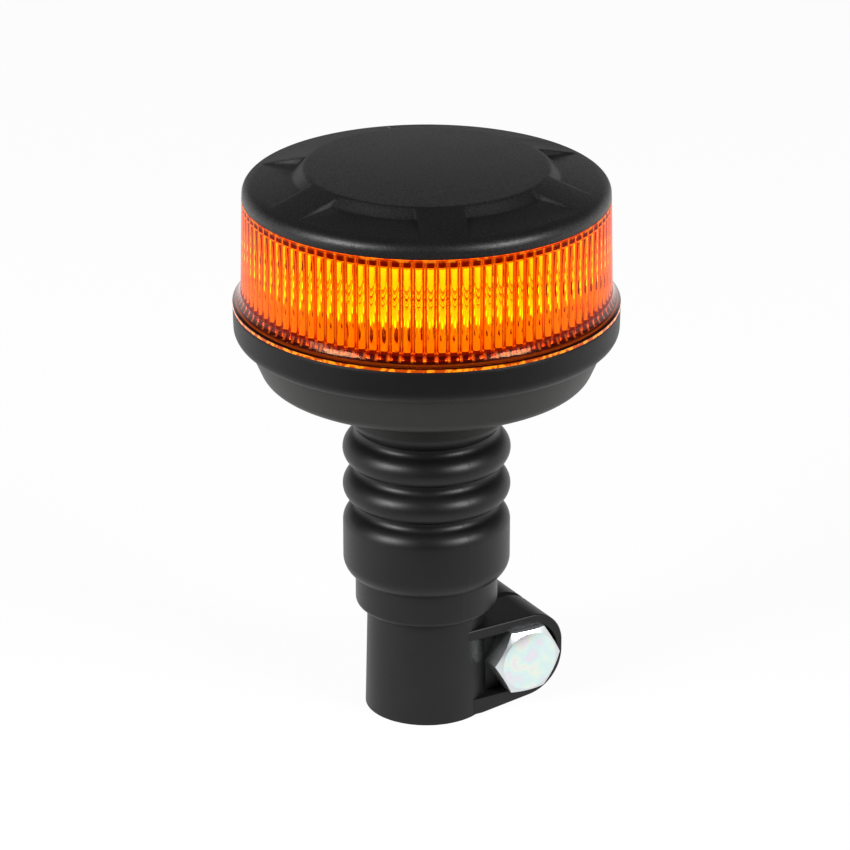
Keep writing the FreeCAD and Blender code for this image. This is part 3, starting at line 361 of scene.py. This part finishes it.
def swept(name, path, radius, sides, material):
    """A round wire along a list of points in millimetres, closed at both ends."""
    points = []
    side = Vector((1, 0, 0))
    for step, centre in enumerate(path):
        ahead = path[min(step + 1, len(path) - 1)] - path[max(step - 1, 0)]
        ahead.normalize()
        side = (side - ahead * side.dot(ahead)).normalized()
        other = ahead.cross(side)
        for turn in round_steps(sides):
            points.append((centre + (side * math.cos(turn) + other * math.sin(turn)) * radius) * MM)
    faces = [tuple(reversed(range(sides)))]
    for step in range(len(path) - 1):
        first = step * sides
        for turn in range(sides):
            after = (turn + 1) % sides
            faces.append((first + turn, first + after, first + sides + after, first + sides + turn))
    faces.append(tuple(range(len(points) - sides, len(points))))
    return piece_from(name, points, faces, material)


def steel(name, light, dark, smooth, rough):
    """Bare steel: fine drawn or turned lines, and a few duller patches."""
    material, shader, shade = finish(name, {"Metallic": 1.0})
    patches = shade.spots(2 * MM, 3.0)
    patches.between(light, dark).feed(shader, "Base Color")
    (smooth + (rough - smooth) * patches).feed(shader, "Roughness")
    lines = shade.spots(0.3 * MM, 2.0, (1.0, 1.0, 5.0))
    shade.relief(0.003 * MM, lines, 0.4).feed(shader, "Normal")
    return material


spring_steel = steel("spring_steel", grey(0.62), grey(0.48), 0.18, 0.34)
coil = []
coil_rise = SPRING_TOP - SPRING_BASE - 2 * WIRE_RADIUS
for step in range(int(SPRING_TURNS * TURN_STEPS) + 1):
    share = step / (SPRING_TURNS * TURN_STEPS)
    turned = 2 * math.pi * SPRING_TURNS * share
    height = SPRING_BASE + WIRE_RADIUS + coil_rise * share
    coil.append(Vector((COIL_RADIUS * math.cos(turned), COIL_RADIUS * math.sin(turned), height)))
spring = swept("contact_spring_coil", coil, WIRE_RADIUS, WIRE_SIDES, spring_steel)
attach(spring, "socket")
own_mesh(spring)
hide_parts("contact_spring")


# Screws: pan heads that hold the carrier, the bowl, the boards and, from below, the cap.
# Plated steel.
screw_steel = steel("screw_steel", grey(0.70), grey(0.54), 0.22, 0.40)
dress(screw_steel, "carrier_screws", "adapter_screws", "board_screws", "driver_screws", "head_screws")


# Rubber stem: sleeve, barrel and two bellows rings, hollow, gripped by its sleeve on the socket's neck.
# Matte black rubber, moulded in a two-part tool whose parting line stays as a fine ridge on either side.
# It is made as two lengths that meet in the upper groove.
STEM_FOOT = 28.6
STEM_TOP = 81.6
STEM_PARTING = 67.4
SLEEVE_RADIUS = 18.36
SLEEVE_ROUND = 1.55
SLEEVE_TOP = 37.35
BARREL_RADIUS = 21.5
BARREL_BASE = 41.95
BARREL_TOP = 51.7
BARREL_ROWS = 4
RING_ROUND = 4.07
RING_PITCH = 10.1
GROOVE_RADIUS = 17.93
GROOVE_ROUND = 2.1
FLARE_BASE = 77.7
COLLAR_RADIUS = 20.6
LIP_RADIUS = 18.5
LIP_BASE = 78.1
LIP_LAND = 0.3
NECK_FIT = 14.68
NECK_TOP = 52.32
BEAD_FIT = 16.48
BEAD_BASE = 42.4
BEAD_TOP = 44.1
BEAD_EASE = 45.6
BORE_RADIUS = 12.0
BORE_FOOT = 55.0
LOWER_BORE_ROWS = (61.0,)
UPPER_BORE_ROWS = (76.0, 71.5)
BUSH_FIT = 15.6
BUSH_DEPTH = 3.0
SKIN_LEAST = 16.98
RIDGES = (math.pi / 2, 1.5 * math.pi)
RIDGE_HEIGHT = 0.04
RIDGE_WIDTH = 0.30
RIDGE_ZONE = math.radians(3)
RIDGE_TURNS = (-2.4, -1.6, -1.0, -0.5, 0.0, 0.5, 1.0, 1.6, 2.4)
STEM_SIDES = 144
ROUND_STEPS = 12


def arc(centre, radius, first, last, steps=ROUND_STEPS):
    """Points of an arc in a profile, between two angles in degrees."""
    turn = [math.radians(first + (last - first) * step / steps) for step in range(steps + 1)]
    return [(centre[0] + radius * math.cos(angle), centre[1] + radius * math.sin(angle)) for angle in turn]


ring_core = BARREL_RADIUS - RING_ROUND
ring_half = math.sqrt(RING_ROUND ** 2 - (GROOVE_RADIUS - ring_core) ** 2)
ring_turn = math.degrees(math.asin(ring_half / RING_ROUND))
foot_run = GROOVE_RADIUS + GROOVE_ROUND - ring_core
foot_rise = math.sqrt((RING_ROUND + GROOVE_ROUND) ** 2 - foot_run ** 2)
foot_turn = math.degrees(math.atan2(foot_rise, foot_run))


def bulge(level, first):
    """A bellows ring, from an angle below its middle up to the hollow of the groove above it."""
    steps = ROUND_STEPS if first == 0 else 2 * ROUND_STEPS
    ring = arc((ring_core, level), RING_ROUND, first, foot_turn, steps)
    hollow = arc((GROOVE_RADIUS + GROOVE_ROUND, level + foot_rise), GROOVE_ROUND, 180 + foot_turn, 180)
    return ring + hollow[1:]


flare_run = BARREL_RADIUS - SLEEVE_RADIUS
flare_rise = BARREL_BASE - SLEEVE_TOP
flare_round = (flare_run ** 2 + flare_rise ** 2) / (2 * flare_run)
flare_turn = math.degrees(math.asin(flare_rise / flare_round))
lower_skin = [(NECK_FIT, STEM_FOOT)]
lower_skin += arc((SLEEVE_RADIUS - SLEEVE_ROUND, STEM_FOOT + SLEEVE_ROUND), SLEEVE_ROUND, -90, 0)
lower_skin += arc((BARREL_RADIUS - flare_round, BARREL_BASE), flare_round, -flare_turn, 0)
barrel_step = (BARREL_TOP - BARREL_BASE) / BARREL_ROWS
lower_skin += [(BARREL_RADIUS, BARREL_BASE + barrel_step * row) for row in range(1, BARREL_ROWS)]
lower_skin += bulge(BARREL_TOP, 0) + bulge(BARREL_TOP + RING_PITCH, -ring_turn)
lower_skin += [(GROOVE_RADIUS, STEM_PARTING), (BORE_RADIUS, STEM_PARTING)]
lower_skin += [(BORE_RADIUS, height) for height in LOWER_BORE_ROWS]
lower_skin += [
    (BORE_RADIUS, BORE_FOOT),
    (NECK_FIT, NECK_TOP),
    (NECK_FIT, BEAD_EASE),
    (BEAD_FIT, BEAD_TOP),
    (BEAD_FIT, BEAD_BASE),
    (NECK_FIT, BEAD_BASE),
]
upper_skin = [(BORE_RADIUS, STEM_PARTING), (GROOVE_RADIUS, STEM_PARTING)]
upper_skin += bulge(BARREL_TOP + 2 * RING_PITCH, -ring_turn)
upper_skin += [
    (GROOVE_RADIUS, FLARE_BASE),
    (LIP_RADIUS, LIP_BASE),
    (COLLAR_RADIUS, STEM_TOP - LIP_LAND),
    (COLLAR_RADIUS, STEM_TOP),
    (BUSH_FIT, STEM_TOP),
    (BUSH_FIT, STEM_TOP - BUSH_DEPTH),
    (BORE_RADIUS, STEM_TOP - BUSH_DEPTH),
]
upper_skin += [(BORE_RADIUS, height) for height in UPPER_BORE_ROWS]


def from_ridge(angle):
    """The turn from an angle to the nearer parting ridge."""
    return min(abs(angle - ridge) for ridge in RIDGES)


stem_angles = [angle for angle in round_steps(STEM_SIDES) if from_ridge(angle) > RIDGE_ZONE]
stem_angles += [ridge + math.radians(turn) for ridge in RIDGES for turn in RIDGE_TURNS]
stem_angles.sort()


def skin_row(radius, height):
    """A row of the stem: round, with the parting ridge on its two sides where it is the outer skin."""
    ridge_height = RIDGE_HEIGHT if radius > SKIN_LEAST else 0.0

    def row(angle):
        away = from_ridge(angle) * radius
        return radius + ridge_height * math.exp(-(away / RIDGE_WIDTH) ** 2), height
    return row


rubber = moulding("stem_rubber", grey(0.003), grey(0.006), 0.40, 0.7 * MM, 0.016 * MM, 0.29)
lower_stem = lathe("flex_stem_lower", [skin_row(*point) for point in lower_skin], stem_angles, rubber)
upper_stem = lathe("flex_stem_upper", [skin_row(*point) for point in upper_skin], stem_angles, rubber)
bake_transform(lower_stem)
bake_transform(upper_stem)
for stem_piece in (lower_stem, upper_stem):
    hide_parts("flex_stem")


# Leads: two insulated wires up the hollow stem, from the contacts to the driver board.
# Soft plastic insulation, red for the live one and black for the return.
LEAD_RADIUS = 1.1
LEAD_SIDES = 16
LEAD_TOP = 102.09
LIVE_FOOT = 50.5
RETURN_FOOT = 52.0
TONGUE_RADIUS = 10.7
RETURN_OFFSET = 4.0
BEND_BASE = 55.0
BEND_TOP = 74.0
LEAD_STEP = 0.6


def lead_path(low, high, offset_at):
    """Points up a lead, beside the stem's axis by its offset at each height."""
    count = round((high - low) / LEAD_STEP)
    heights = [low + (high - low) * step / count for step in range(count + 1)]
    return [Vector((0, offset_at(height), height)) for height in heights]


def return_offset(height):
    """The return wire leaves the tongue near the wall and leans in to run beside the live one."""
    share = min(max((height - BEND_BASE) / (BEND_TOP - BEND_BASE), 0.0), 1.0)
    ease = share * share * (3 - 2 * share)
    return TONGUE_RADIUS + (RETURN_OFFSET - TONGUE_RADIUS) * ease


def insulation(name, dark, light):
    """Soft plastic round a wire, a little cloudy."""
    material, shader, shade = finish(name, {"Specular IOR Level": 0.4})
    cloud = shade.spots(4 * MM, 3.0)
    cloud.between(dark, light).feed(shader, "Base Color")
    (0.35 + 0.15 * cloud).feed(shader, "Roughness")
    shade.relief(0.01 * MM, shade.spots(0.8 * MM), 0.5).feed(shader, "Normal")
    return material


lead_finishes = {
    "lead_red": insulation("lead_red", (0.42, 0.012, 0.010, 1.0), (0.55, 0.025, 0.018, 1.0)),
    "lead_black": insulation("lead_black", grey(0.012), grey(0.022)),
}
for lead, foot, offset_at, slot in (("live_lead", LIVE_FOOT, lambda height: 0.0, "lead_red"),
                                    ("return_lead", RETURN_FOOT, return_offset, "lead_black")):
    lower_path = lead_path(foot, STEM_PARTING, offset_at)
    upper_path = lead_path(STEM_PARTING, LEAD_TOP, offset_at)
    lower_wire = swept(lead + "_lower", lower_path, LEAD_RADIUS, LEAD_SIDES, lead_finishes[slot])
    upper_wire = swept(lead + "_upper", upper_path, LEAD_RADIUS, LEAD_SIDES, lead_finishes[slot])
    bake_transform(lower_wire)
    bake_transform(upper_wire)
    for wire in (lower_wire, upper_wire):
        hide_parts(lead)


# Bowl: the adapter under the base, with the collar that the stem's top is clamped against.
# The same plastic as the base, but from a polished tool, so it is smoother and a little lighter.
bowl_plastic = moulding("black_smooth_plastic", (0.011, 0.0115, 0.010, 1.0), (0.015, 0.016, 0.014, 1.0),
                        0.44, 0.5 * MM, 0.008 * MM, 0.24)
dress(bowl_plastic, "mount_adapter")


# Gaskets between bowl and base, base and lens, and lens and cap.
# Flat rings punched from black sealing rubber.
seal_rubber = moulding("seal_rubber", grey(0.010), grey(0.016), 0.62, 0.5 * MM, 0.012 * MM, 0.2)
dress(seal_rubber, "adapter_gasket", "lens_gasket", "cap_gasket")


# Base housing and cap: the dish that carries the lens and the lid above it.
# Black plastic moulded against spark-eroded steel, which leaves a fine even grain.
# The cap is polished a little on top of it; its edges are soft and its disc is faintly dished.
EDGE_ROUND = 1.5
CAP_BASE = 138.5
DISC_RADIUS = 31.0
DISC_CROWN = -1.1
GRAIN_DEPTH = 0.09


def lay_over(shade, shader, cover, share):
    """Show another shader in place of the finish's own one, as far as the share goes from 0 to 1."""
    own = Shade(shade.tree, shader.outputs[0])
    mixed = shade.node("MixShader", {0: share, 1: own, 2: cover})
    mixed.feed(shade.tree.nodes["Material Output"], "Surface")


case_plastic, case_shader, case_shade = finish("black_textured_plastic", {
    "Specular IOR Level": 0.20,
    "Coat Roughness": 0.38,
})
case_drift = case_shade.spots(12 * MM, 4.0)
case_drift.between(grey(0.003), grey(0.006)).feed(case_shader, "Base Color")
case_grain = case_shade.spots(0.45 * MM, 2.0)
case_pits = case_shade.spots(0.22 * MM, 1.0)
(0.33 + 0.06 * case_drift + 0.14 * case_grain).feed(case_shader, "Roughness")
speckle = (0.5 * case_grain + 0.5 * case_pits).above(0.5, 0.25)
on_cap = case_shade.along("Z").above(CAP_BASE * MM, 0.2 * MM)
(0.36 * on_cap * (0.1 + 1.8 * speckle)).feed(case_shader, "Coat Weight")
case_edges = case_shade.node("Bevel", {"Radius": EDGE_ROUND * MM}, {"samples": 6})
inside_disc = case_shade.maths("MINIMUM", case_shade.radius(), DISC_RADIUS * MM)
crown = case_shade.relief(1.0, DISC_CROWN * inside_disc * inside_disc, 1.0, case_edges)
grain_height = 0.7 * case_grain + 0.3 * case_pits
case_shade.relief(GRAIN_DEPTH * MM, grain_height, 1.0, crown).feed(case_shader, "Normal")
# Painted shade: on upward faces seen at a glance, a dark matte shader takes the place of most of the gloss.
glancing_painted_shade = case_shade.node("BsdfDiffuse", {"Color": grey(0.012), "Roughness": 1.0})
glancing = case_shade.node("LayerWeight", {"Blend": 0.5}, output="Facing").above(0.74, 0.30)
case_normal = case_shade.node("TexCoord", output="Normal")
facing_up = case_shade.node("SeparateXYZ", {0: case_normal}, output="Z").above(0.6, 0.4)
lay_over(case_shade, case_shader, glancing_painted_shade, 0.85 * glancing * facing_up)
dress(case_plastic, "base_housing", "top_cap")


# Driver board and what hangs under it: two can capacitors, a choke and two regulator chips.
# Green fibreglass board; sleeved cans, sintered ferrite and moulded epoxy packages.
board_green, green_shader, green_shade = finish("board_green", {"Specular IOR Level": 0.5})
weave = green_shade.node("TexWave", {"Vector": green_shade.place(), "Scale": 300.0, "Distortion": 2.0})
weave.between((0.010, 0.085, 0.030, 1.0), (0.016, 0.115, 0.042, 1.0)).feed(green_shader, "Base Color")
(0.30 + 0.12 * green_shade.spots(3 * MM)).feed(green_shader, "Roughness")
green_shade.relief(0.02 * MM, weave, 0.3).feed(green_shader, "Normal")
dress(board_green, "driver_board")
sleeve_film = moulding("capacitor_sleeve", (0.014, 0.018, 0.040, 1.0), (0.020, 0.026, 0.055, 1.0),
                       0.32, 1.0 * MM, 0.01 * MM, 0.5)
dress(sleeve_film, "driver_capacitors")
ferrite = moulding("choke_ferrite", (0.030, 0.028, 0.027, 1.0), (0.050, 0.046, 0.044, 1.0),
                   0.60, 0.4 * MM, 0.03 * MM, 0.4)
dress(ferrite, "driver_choke")
chip_epoxy = moulding("chip_black", grey(0.010), grey(0.020), 0.48, 0.3 * MM, 0.012 * MM, 0.4)
dress(chip_epoxy, "driver_chips", "board_chips")


# Heat sink: the plate under the LED board, on four bosses of the base.
# Rolled aluminium, brushed one way.
sink, sink_shader, sink_shade = finish("sink_aluminium", {"Metallic": 1.0})
brushed = sink_shade.spots(0.6 * MM, 3.0, (1.0, 30.0, 1.0))
brushed.between(grey(0.58), grey(0.72)).feed(sink_shader, "Base Color")
(0.28 + 0.20 * brushed).feed(sink_shader, "Roughness")
sink_shade.relief(0.01 * MM, brushed, 0.5).feed(sink_shader, "Normal")
dress(sink, "heat_sink")


# LED board with its resistors: a disc that carries the ring of LEDs and faces the reflector.
# Aluminium-backed board under white solder resist with a painted glow, bright near the LEDs and dim beyond;
# the resistors are glazed ceramic.
PAINTED_GLOW_RADIUS = 18.5
PAINTED_GLOW_FADE = 6.0
resist, resist_shader, resist_shade = finish("board_white", {"Emission Strength": 2.0})
mottle = resist_shade.spots(3 * MM, 3.0)
mottle.between((0.74, 0.73, 0.70, 1.0), (0.82, 0.81, 0.79, 1.0)).feed(resist_shader, "Base Color")
(0.26 + 0.12 * mottle).feed(resist_shader, "Roughness")
resist_shade.relief(0.02 * MM, resist_shade.spots(1.2 * MM), 0.4).feed(resist_shader, "Normal")
# Painted glow: emission that is bright near the ring of LEDs and dim beyond it, standing in for their light
# on the board.
past_painted_glow = resist_shade.radius().above(PAINTED_GLOW_RADIUS * MM, PAINTED_GLOW_FADE * MM)
past_painted_glow.between((1.0, 0.80, 0.32, 1.0), (0.12, 0.045, 0.010, 1.0)).feed(resist_shader, "Emission Color")
dress(resist, "led_board")
glaze = moulding("resistor_glaze", (0.014, 0.016, 0.020, 1.0), (0.030, 0.032, 0.036, 1.0),
                 0.30, 0.3 * MM, 0.008 * MM, 0.5)
dress(glaze, "board_resistors")


# LEDs: sixteen packages in a ring, lit.
# A white ceramic body with a domed amber resin cap that glows.
DOME_BASE = 112.44
led, led_shader, led_shade = finish("led_amber", {"Roughness": 0.3, "Emission Strength": 9.5})
dome = led_shade.along("Z").above(DOME_BASE * MM, 0.2 * MM)
led_cloud = led_shade.spots(0.6 * MM)
dome.between(grey(0.80), (0.95, 0.45, 0.04, 1.0)).feed(led_shader, "Base Color")
glow = led_cloud.between((1.0, 0.52, 0.05, 1.0), (1.0, 0.60, 0.08, 1.0))
dome.between(grey(0.0), glow).feed(led_shader, "Emission Color")
dress(led, "leds")


# Reflector: the trumpet over the LEDs, which turns their light outward through the flutes.
# White polycarbonate under a thin bright metal film; its bell, the part that the LEDs light most, carries a
# painted glow.
BELL_BASE = 119.0
BELL_FADE = 4.0
white, white_shader, white_shade = finish("reflector_bright", {"Metallic": 1.0, "Emission Strength": 1.0})
satin = white_shade.spots(4 * MM, 3.0)
satin.between((0.90, 0.88, 0.83, 1.0), (0.95, 0.94, 0.90, 1.0)).feed(white_shader, "Base Color")
(0.08 + 0.08 * satin).feed(white_shader, "Roughness")
white_shade.relief(0.03 * MM, satin, 0.5).feed(white_shader, "Normal")
# Painted glow: emission that rises from dim to bright up the bell, standing in for the LEDs' light on it.
painted_bell_glow = white_shade.along("Z").above(BELL_BASE * MM, BELL_FADE * MM)
painted_bell_glow.between((0.08, 0.064, 0.036, 1.0), (0.80, 0.69, 0.40, 1.0)).feed(white_shader, "Emission Color")
dress(white, "reflector")


# Lens: plain outside, with a hundred round flutes up its inside and a flared foot.
# Clear amber acrylic, injection moulded, with the faint flow marks that such a thick wall keeps.
# Its emission is a painted glow for the light that it pipes: bright at its edges, with painted glints, and
# at the feet of the ribs between the flutes, faint over the wall.
FLUTES = 100
FLARE_RADIUS = 46.4
FLARE_TOP = 115.0
GLOSS_RADIUS = 46.8
GLOSS_TOP = 115.4
RIM_RADIUS = 48.7
RIM_TOP = 112.2
RIB_REACH = 47.6
RIB_BASE = 112.25
PAINTED_HALO_INSIDE = 47.9
PAINTED_HALO_OUTSIDE = 48.3
TOP_EDGE = 138.7
ACRYLIC_IOR = 1.49
amber, amber_shader, amber_shade = finish("amber_lens", {
    "Transmission Weight": 1.0,
    "IOR": ACRYLIC_IOR,
    "Specular Tint": (0.50, 0.20, 0.06, 1.0),
    "Emission Strength": 2.5,
    "Coat Roughness": 0.22,
})
flow = amber_shade.spots(14 * MM, 3.0, (1.0, 1.0, 0.35))
lens_height = amber_shade.along("Z")
lens_radius = amber_shade.radius()
flare = lens_radius.above(FLARE_RADIUS * MM, 0.8 * MM) * lens_height.below(FLARE_TOP * MM, 0.4 * MM)
wall_tint = flow.between((1.0, 0.26, 0.002, 1.0), (1.0, 0.31, 0.004, 1.0))
# Painted shade: the flare is tinted far darker than the wall.
flare.between(wall_tint, (0.25, 0.015, 0.001, 1.0)).feed(amber_shader, "Base Color")
gloss = lens_radius.above(GLOSS_RADIUS * MM, 0.1 * MM) * lens_height.below(GLOSS_TOP * MM, 0.6 * MM)
(0.10 * gloss).feed(amber_shader, "Coat Weight")
(0.015 + 0.03 * amber_shade.spots(3 * MM)).feed(amber_shader, "Roughness")
amber_shade.relief(0.02 * MM, amber_shade.spots(5 * MM, 2.0), 0.3).feed(amber_shader, "Normal")
# Painted glow: emission bright along the top edge and the rim with painted glints, at the rib feet and in a
# thin painted halo on the flare, faint over the wall.
rim = lens_radius.above(RIM_RADIUS * MM, 0.1 * MM) * lens_height.below(RIM_TOP * MM, 0.2 * MM)
edges = lens_height.above(TOP_EDGE * MM, 0.3 * MM) | rim
painted_glints = amber_shade.spots(1.8 * MM, 1.0).above(0.52, 0.10)
painted_edge_glow = painted_glints.between((0.26, 0.030, 0.001, 1.0), (0.62, 0.17, 0.005, 1.0))
turn = amber_shade.maths("ARCTAN2", amber_shade.along("Y"), amber_shade.along("X"))
teeth = amber_shade.node("Math", {0: FLUTES * turn}, {"operation": "COSINE"})
ribs = (0.0 - teeth).above(0.72, 0.4) * lens_radius.below(RIB_REACH * MM, 0.2 * MM)
painted_halo = lens_radius.above(PAINTED_HALO_INSIDE * MM, 0.2 * MM) * lens_radius.below(PAINTED_HALO_OUTSIDE * MM, 0.2 * MM)
painted_rib_feet = flare * lens_height.above(RIB_BASE * MM, 0.1 * MM) * (ribs | 0.4 * painted_halo)
painted_wall_glow = flare.between((0.042, 0.001, 0.0, 1.0), (0.003, 0.0003, 0.0, 1.0))
painted_inner_glow = painted_rib_feet.between(painted_wall_glow, (0.18, 0.026, 0.001, 1.0))
edges.between(painted_inner_glow, painted_edge_glow).feed(amber_shader, "Emission Color")
clear_wall = amber_shade.node("BsdfRefraction", {
    "Color": (1.0, 0.53, 0.05, 1.0),
    "Roughness": 0.03,
    "IOR": ACRYLIC_IOR,
})
outer_face = 1.0 - amber_shade.node("NewGeometry", output="Backfacing")
lay_over(amber_shade, amber_shader, clear_wall, 0.6 * outer_face * (1.0 - gloss))
dress(amber, "lens")


# Studio: a pale floor under the socket's mouth, a white surround and three soft boxes.
# Floor and surround are white to the camera, through clear plastic and in gloss, and light the rest gently.
# In gloss the ceiling and the side where the photographer stands are dark, as in a studio.
FLOOR_HALF = 4.0
FRONT_SIDE = (-0.5, -0.866, 0.0)
FRONT_START = 0.55
FRONT_FADE = 0.5
PAPER_FRONT = 0.16
PAPER_FADE = 0.12
CEILING_START = 0.20
CEILING_FADE = 0.20
WHITE = grey(1.0)
DARK = grey(0.10)
LAMP_AIM = Vector((0, 0, 0.11))


def shown(shade):
    """Two values: 1 for a ray from the camera or through something clear, and 1 for a ray from gloss."""
    path = shade.node("LightPath", output="Is Camera Ray")
    return path | path.other("Is Transmission Ray"), path.other("Is Glossy Ray")


def frontward(shade, where):
    """How far a place or a direction lies toward the photographer's side."""
    return shade.node("VectorMath", {0: where, 1: FRONT_SIDE}, {"operation": "DOT_PRODUCT"}, output="Value")


floor_mesh = bpy.data.meshes.new("studio_floor")
corners = [(x * FLOOR_HALF, y * FLOOR_HALF, 0) for x, y in ((-1, -1), (1, -1), (1, 1), (-1, 1))]
floor_mesh.from_pydata(corners, [], [(0, 1, 2, 3)])
floor = bpy.data.objects.new("studio_floor", floor_mesh)
bpy.context.collection.objects.link(floor)
paper, paper_shader, paper_shade = finish("studio_paper", {"Roughness": 0.9, "Specular IOR Level": 0.1})
paper_shade.spots(0.4).between(grey(0.84), grey(0.86)).feed(paper_shader, "Base Color")
floor_mesh.materials.append(paper)
to_eye, to_gloss = shown(paper_shade)
paper_front = frontward(paper_shade, paper_shade.place()).above(PAPER_FRONT, PAPER_FADE)
paper_tone = (paper_front * to_gloss).between(WHITE, DARK)
paper_white = paper_shade.node("Emission", {"Color": paper_tone, "Strength": 1.0})
lay_over(paper_shade, paper_shader, paper_white, 0.95 * (to_eye | to_gloss))

world = bpy.data.worlds.new("studio_surround")
bpy.context.scene.world = world
world.use_nodes = True
surround = world.node_tree.nodes["Background"]
world_shade = Shade(world.node_tree)
outward = world_shade.node("TexCoord", output="Generated")
upward = world_shade.node("SeparateXYZ", {0: outward}, output="Z")
to_eye, to_gloss = shown(world_shade)
front = frontward(world_shade, outward).above(FRONT_START, FRONT_FADE)
dimmed = upward.above(CEILING_START, CEILING_FADE) | front
(dimmed * (1.0 - to_eye)).between(WHITE, DARK).feed(surround, "Color")
(0.6 + 0.4 * (to_eye | to_gloss)).feed(surround, "Strength")


def soft_box(name, place, width, height, power):
    """A soft box that faces the lamp head."""
    light = bpy.data.lights.new(name, "AREA")
    light.shape = "RECTANGLE"
    light.size = width
    light.size_y = height
    light.energy = power
    lamp = bpy.data.objects.new(name, light)
    lamp.location = place
    lamp.rotation_euler = (LAMP_AIM - Vector(place)).to_track_quat("-Z", "Y").to_euler()
    bpy.context.collection.objects.link(lamp)


soft_box("near_left_box", (-1.094, -0.115, 0.70), 0.45, 0.50, 16.0)
soft_box("near_right_box", (0.447, -1.005, 0.70), 0.45, 0.50, 16.0)
soft_box("left_box", (-0.95, 0.10, 0.45), 0.25, 0.70, 3.0)


# Camera: where the photograph was taken from, looking down on the cap.
# A long lens on a full-frame sensor, level from side to side.
AZIMUTH = math.radians(-30.0)
PITCH = math.radians(22.66)
DISTANCE = 979.9 * MM
HEIGHT = 486.6 * MM
FRAME_PIXELS = 850.0
FOCAL_PIXELS = 4166.0
SIDESTEP = -0.4 * MM
SENSOR_WIDTH = 36.0
camera_data = bpy.data.cameras.new("photo_camera")
camera_data.sensor_width = SENSOR_WIDTH
camera_data.lens = SENSOR_WIDTH * FOCAL_PIXELS / FRAME_PIXELS
camera = bpy.data.objects.new("photo_camera", camera_data)
to_camera = Vector((math.sin(AZIMUTH), -math.cos(AZIMUTH), 0))
rightward = Vector((math.cos(AZIMUTH), math.sin(AZIMUTH), 0))
camera.location = to_camera * DISTANCE + rightward * SIDESTEP + Vector((0, 0, HEIGHT))
camera.rotation_euler = (math.pi / 2 - PITCH, 0, AZIMUTH)
bpy.context.collection.objects.link(camera)
bpy.context.scene.camera = camera
bpy.context.scene.view_settings.view_transform = "Standard"
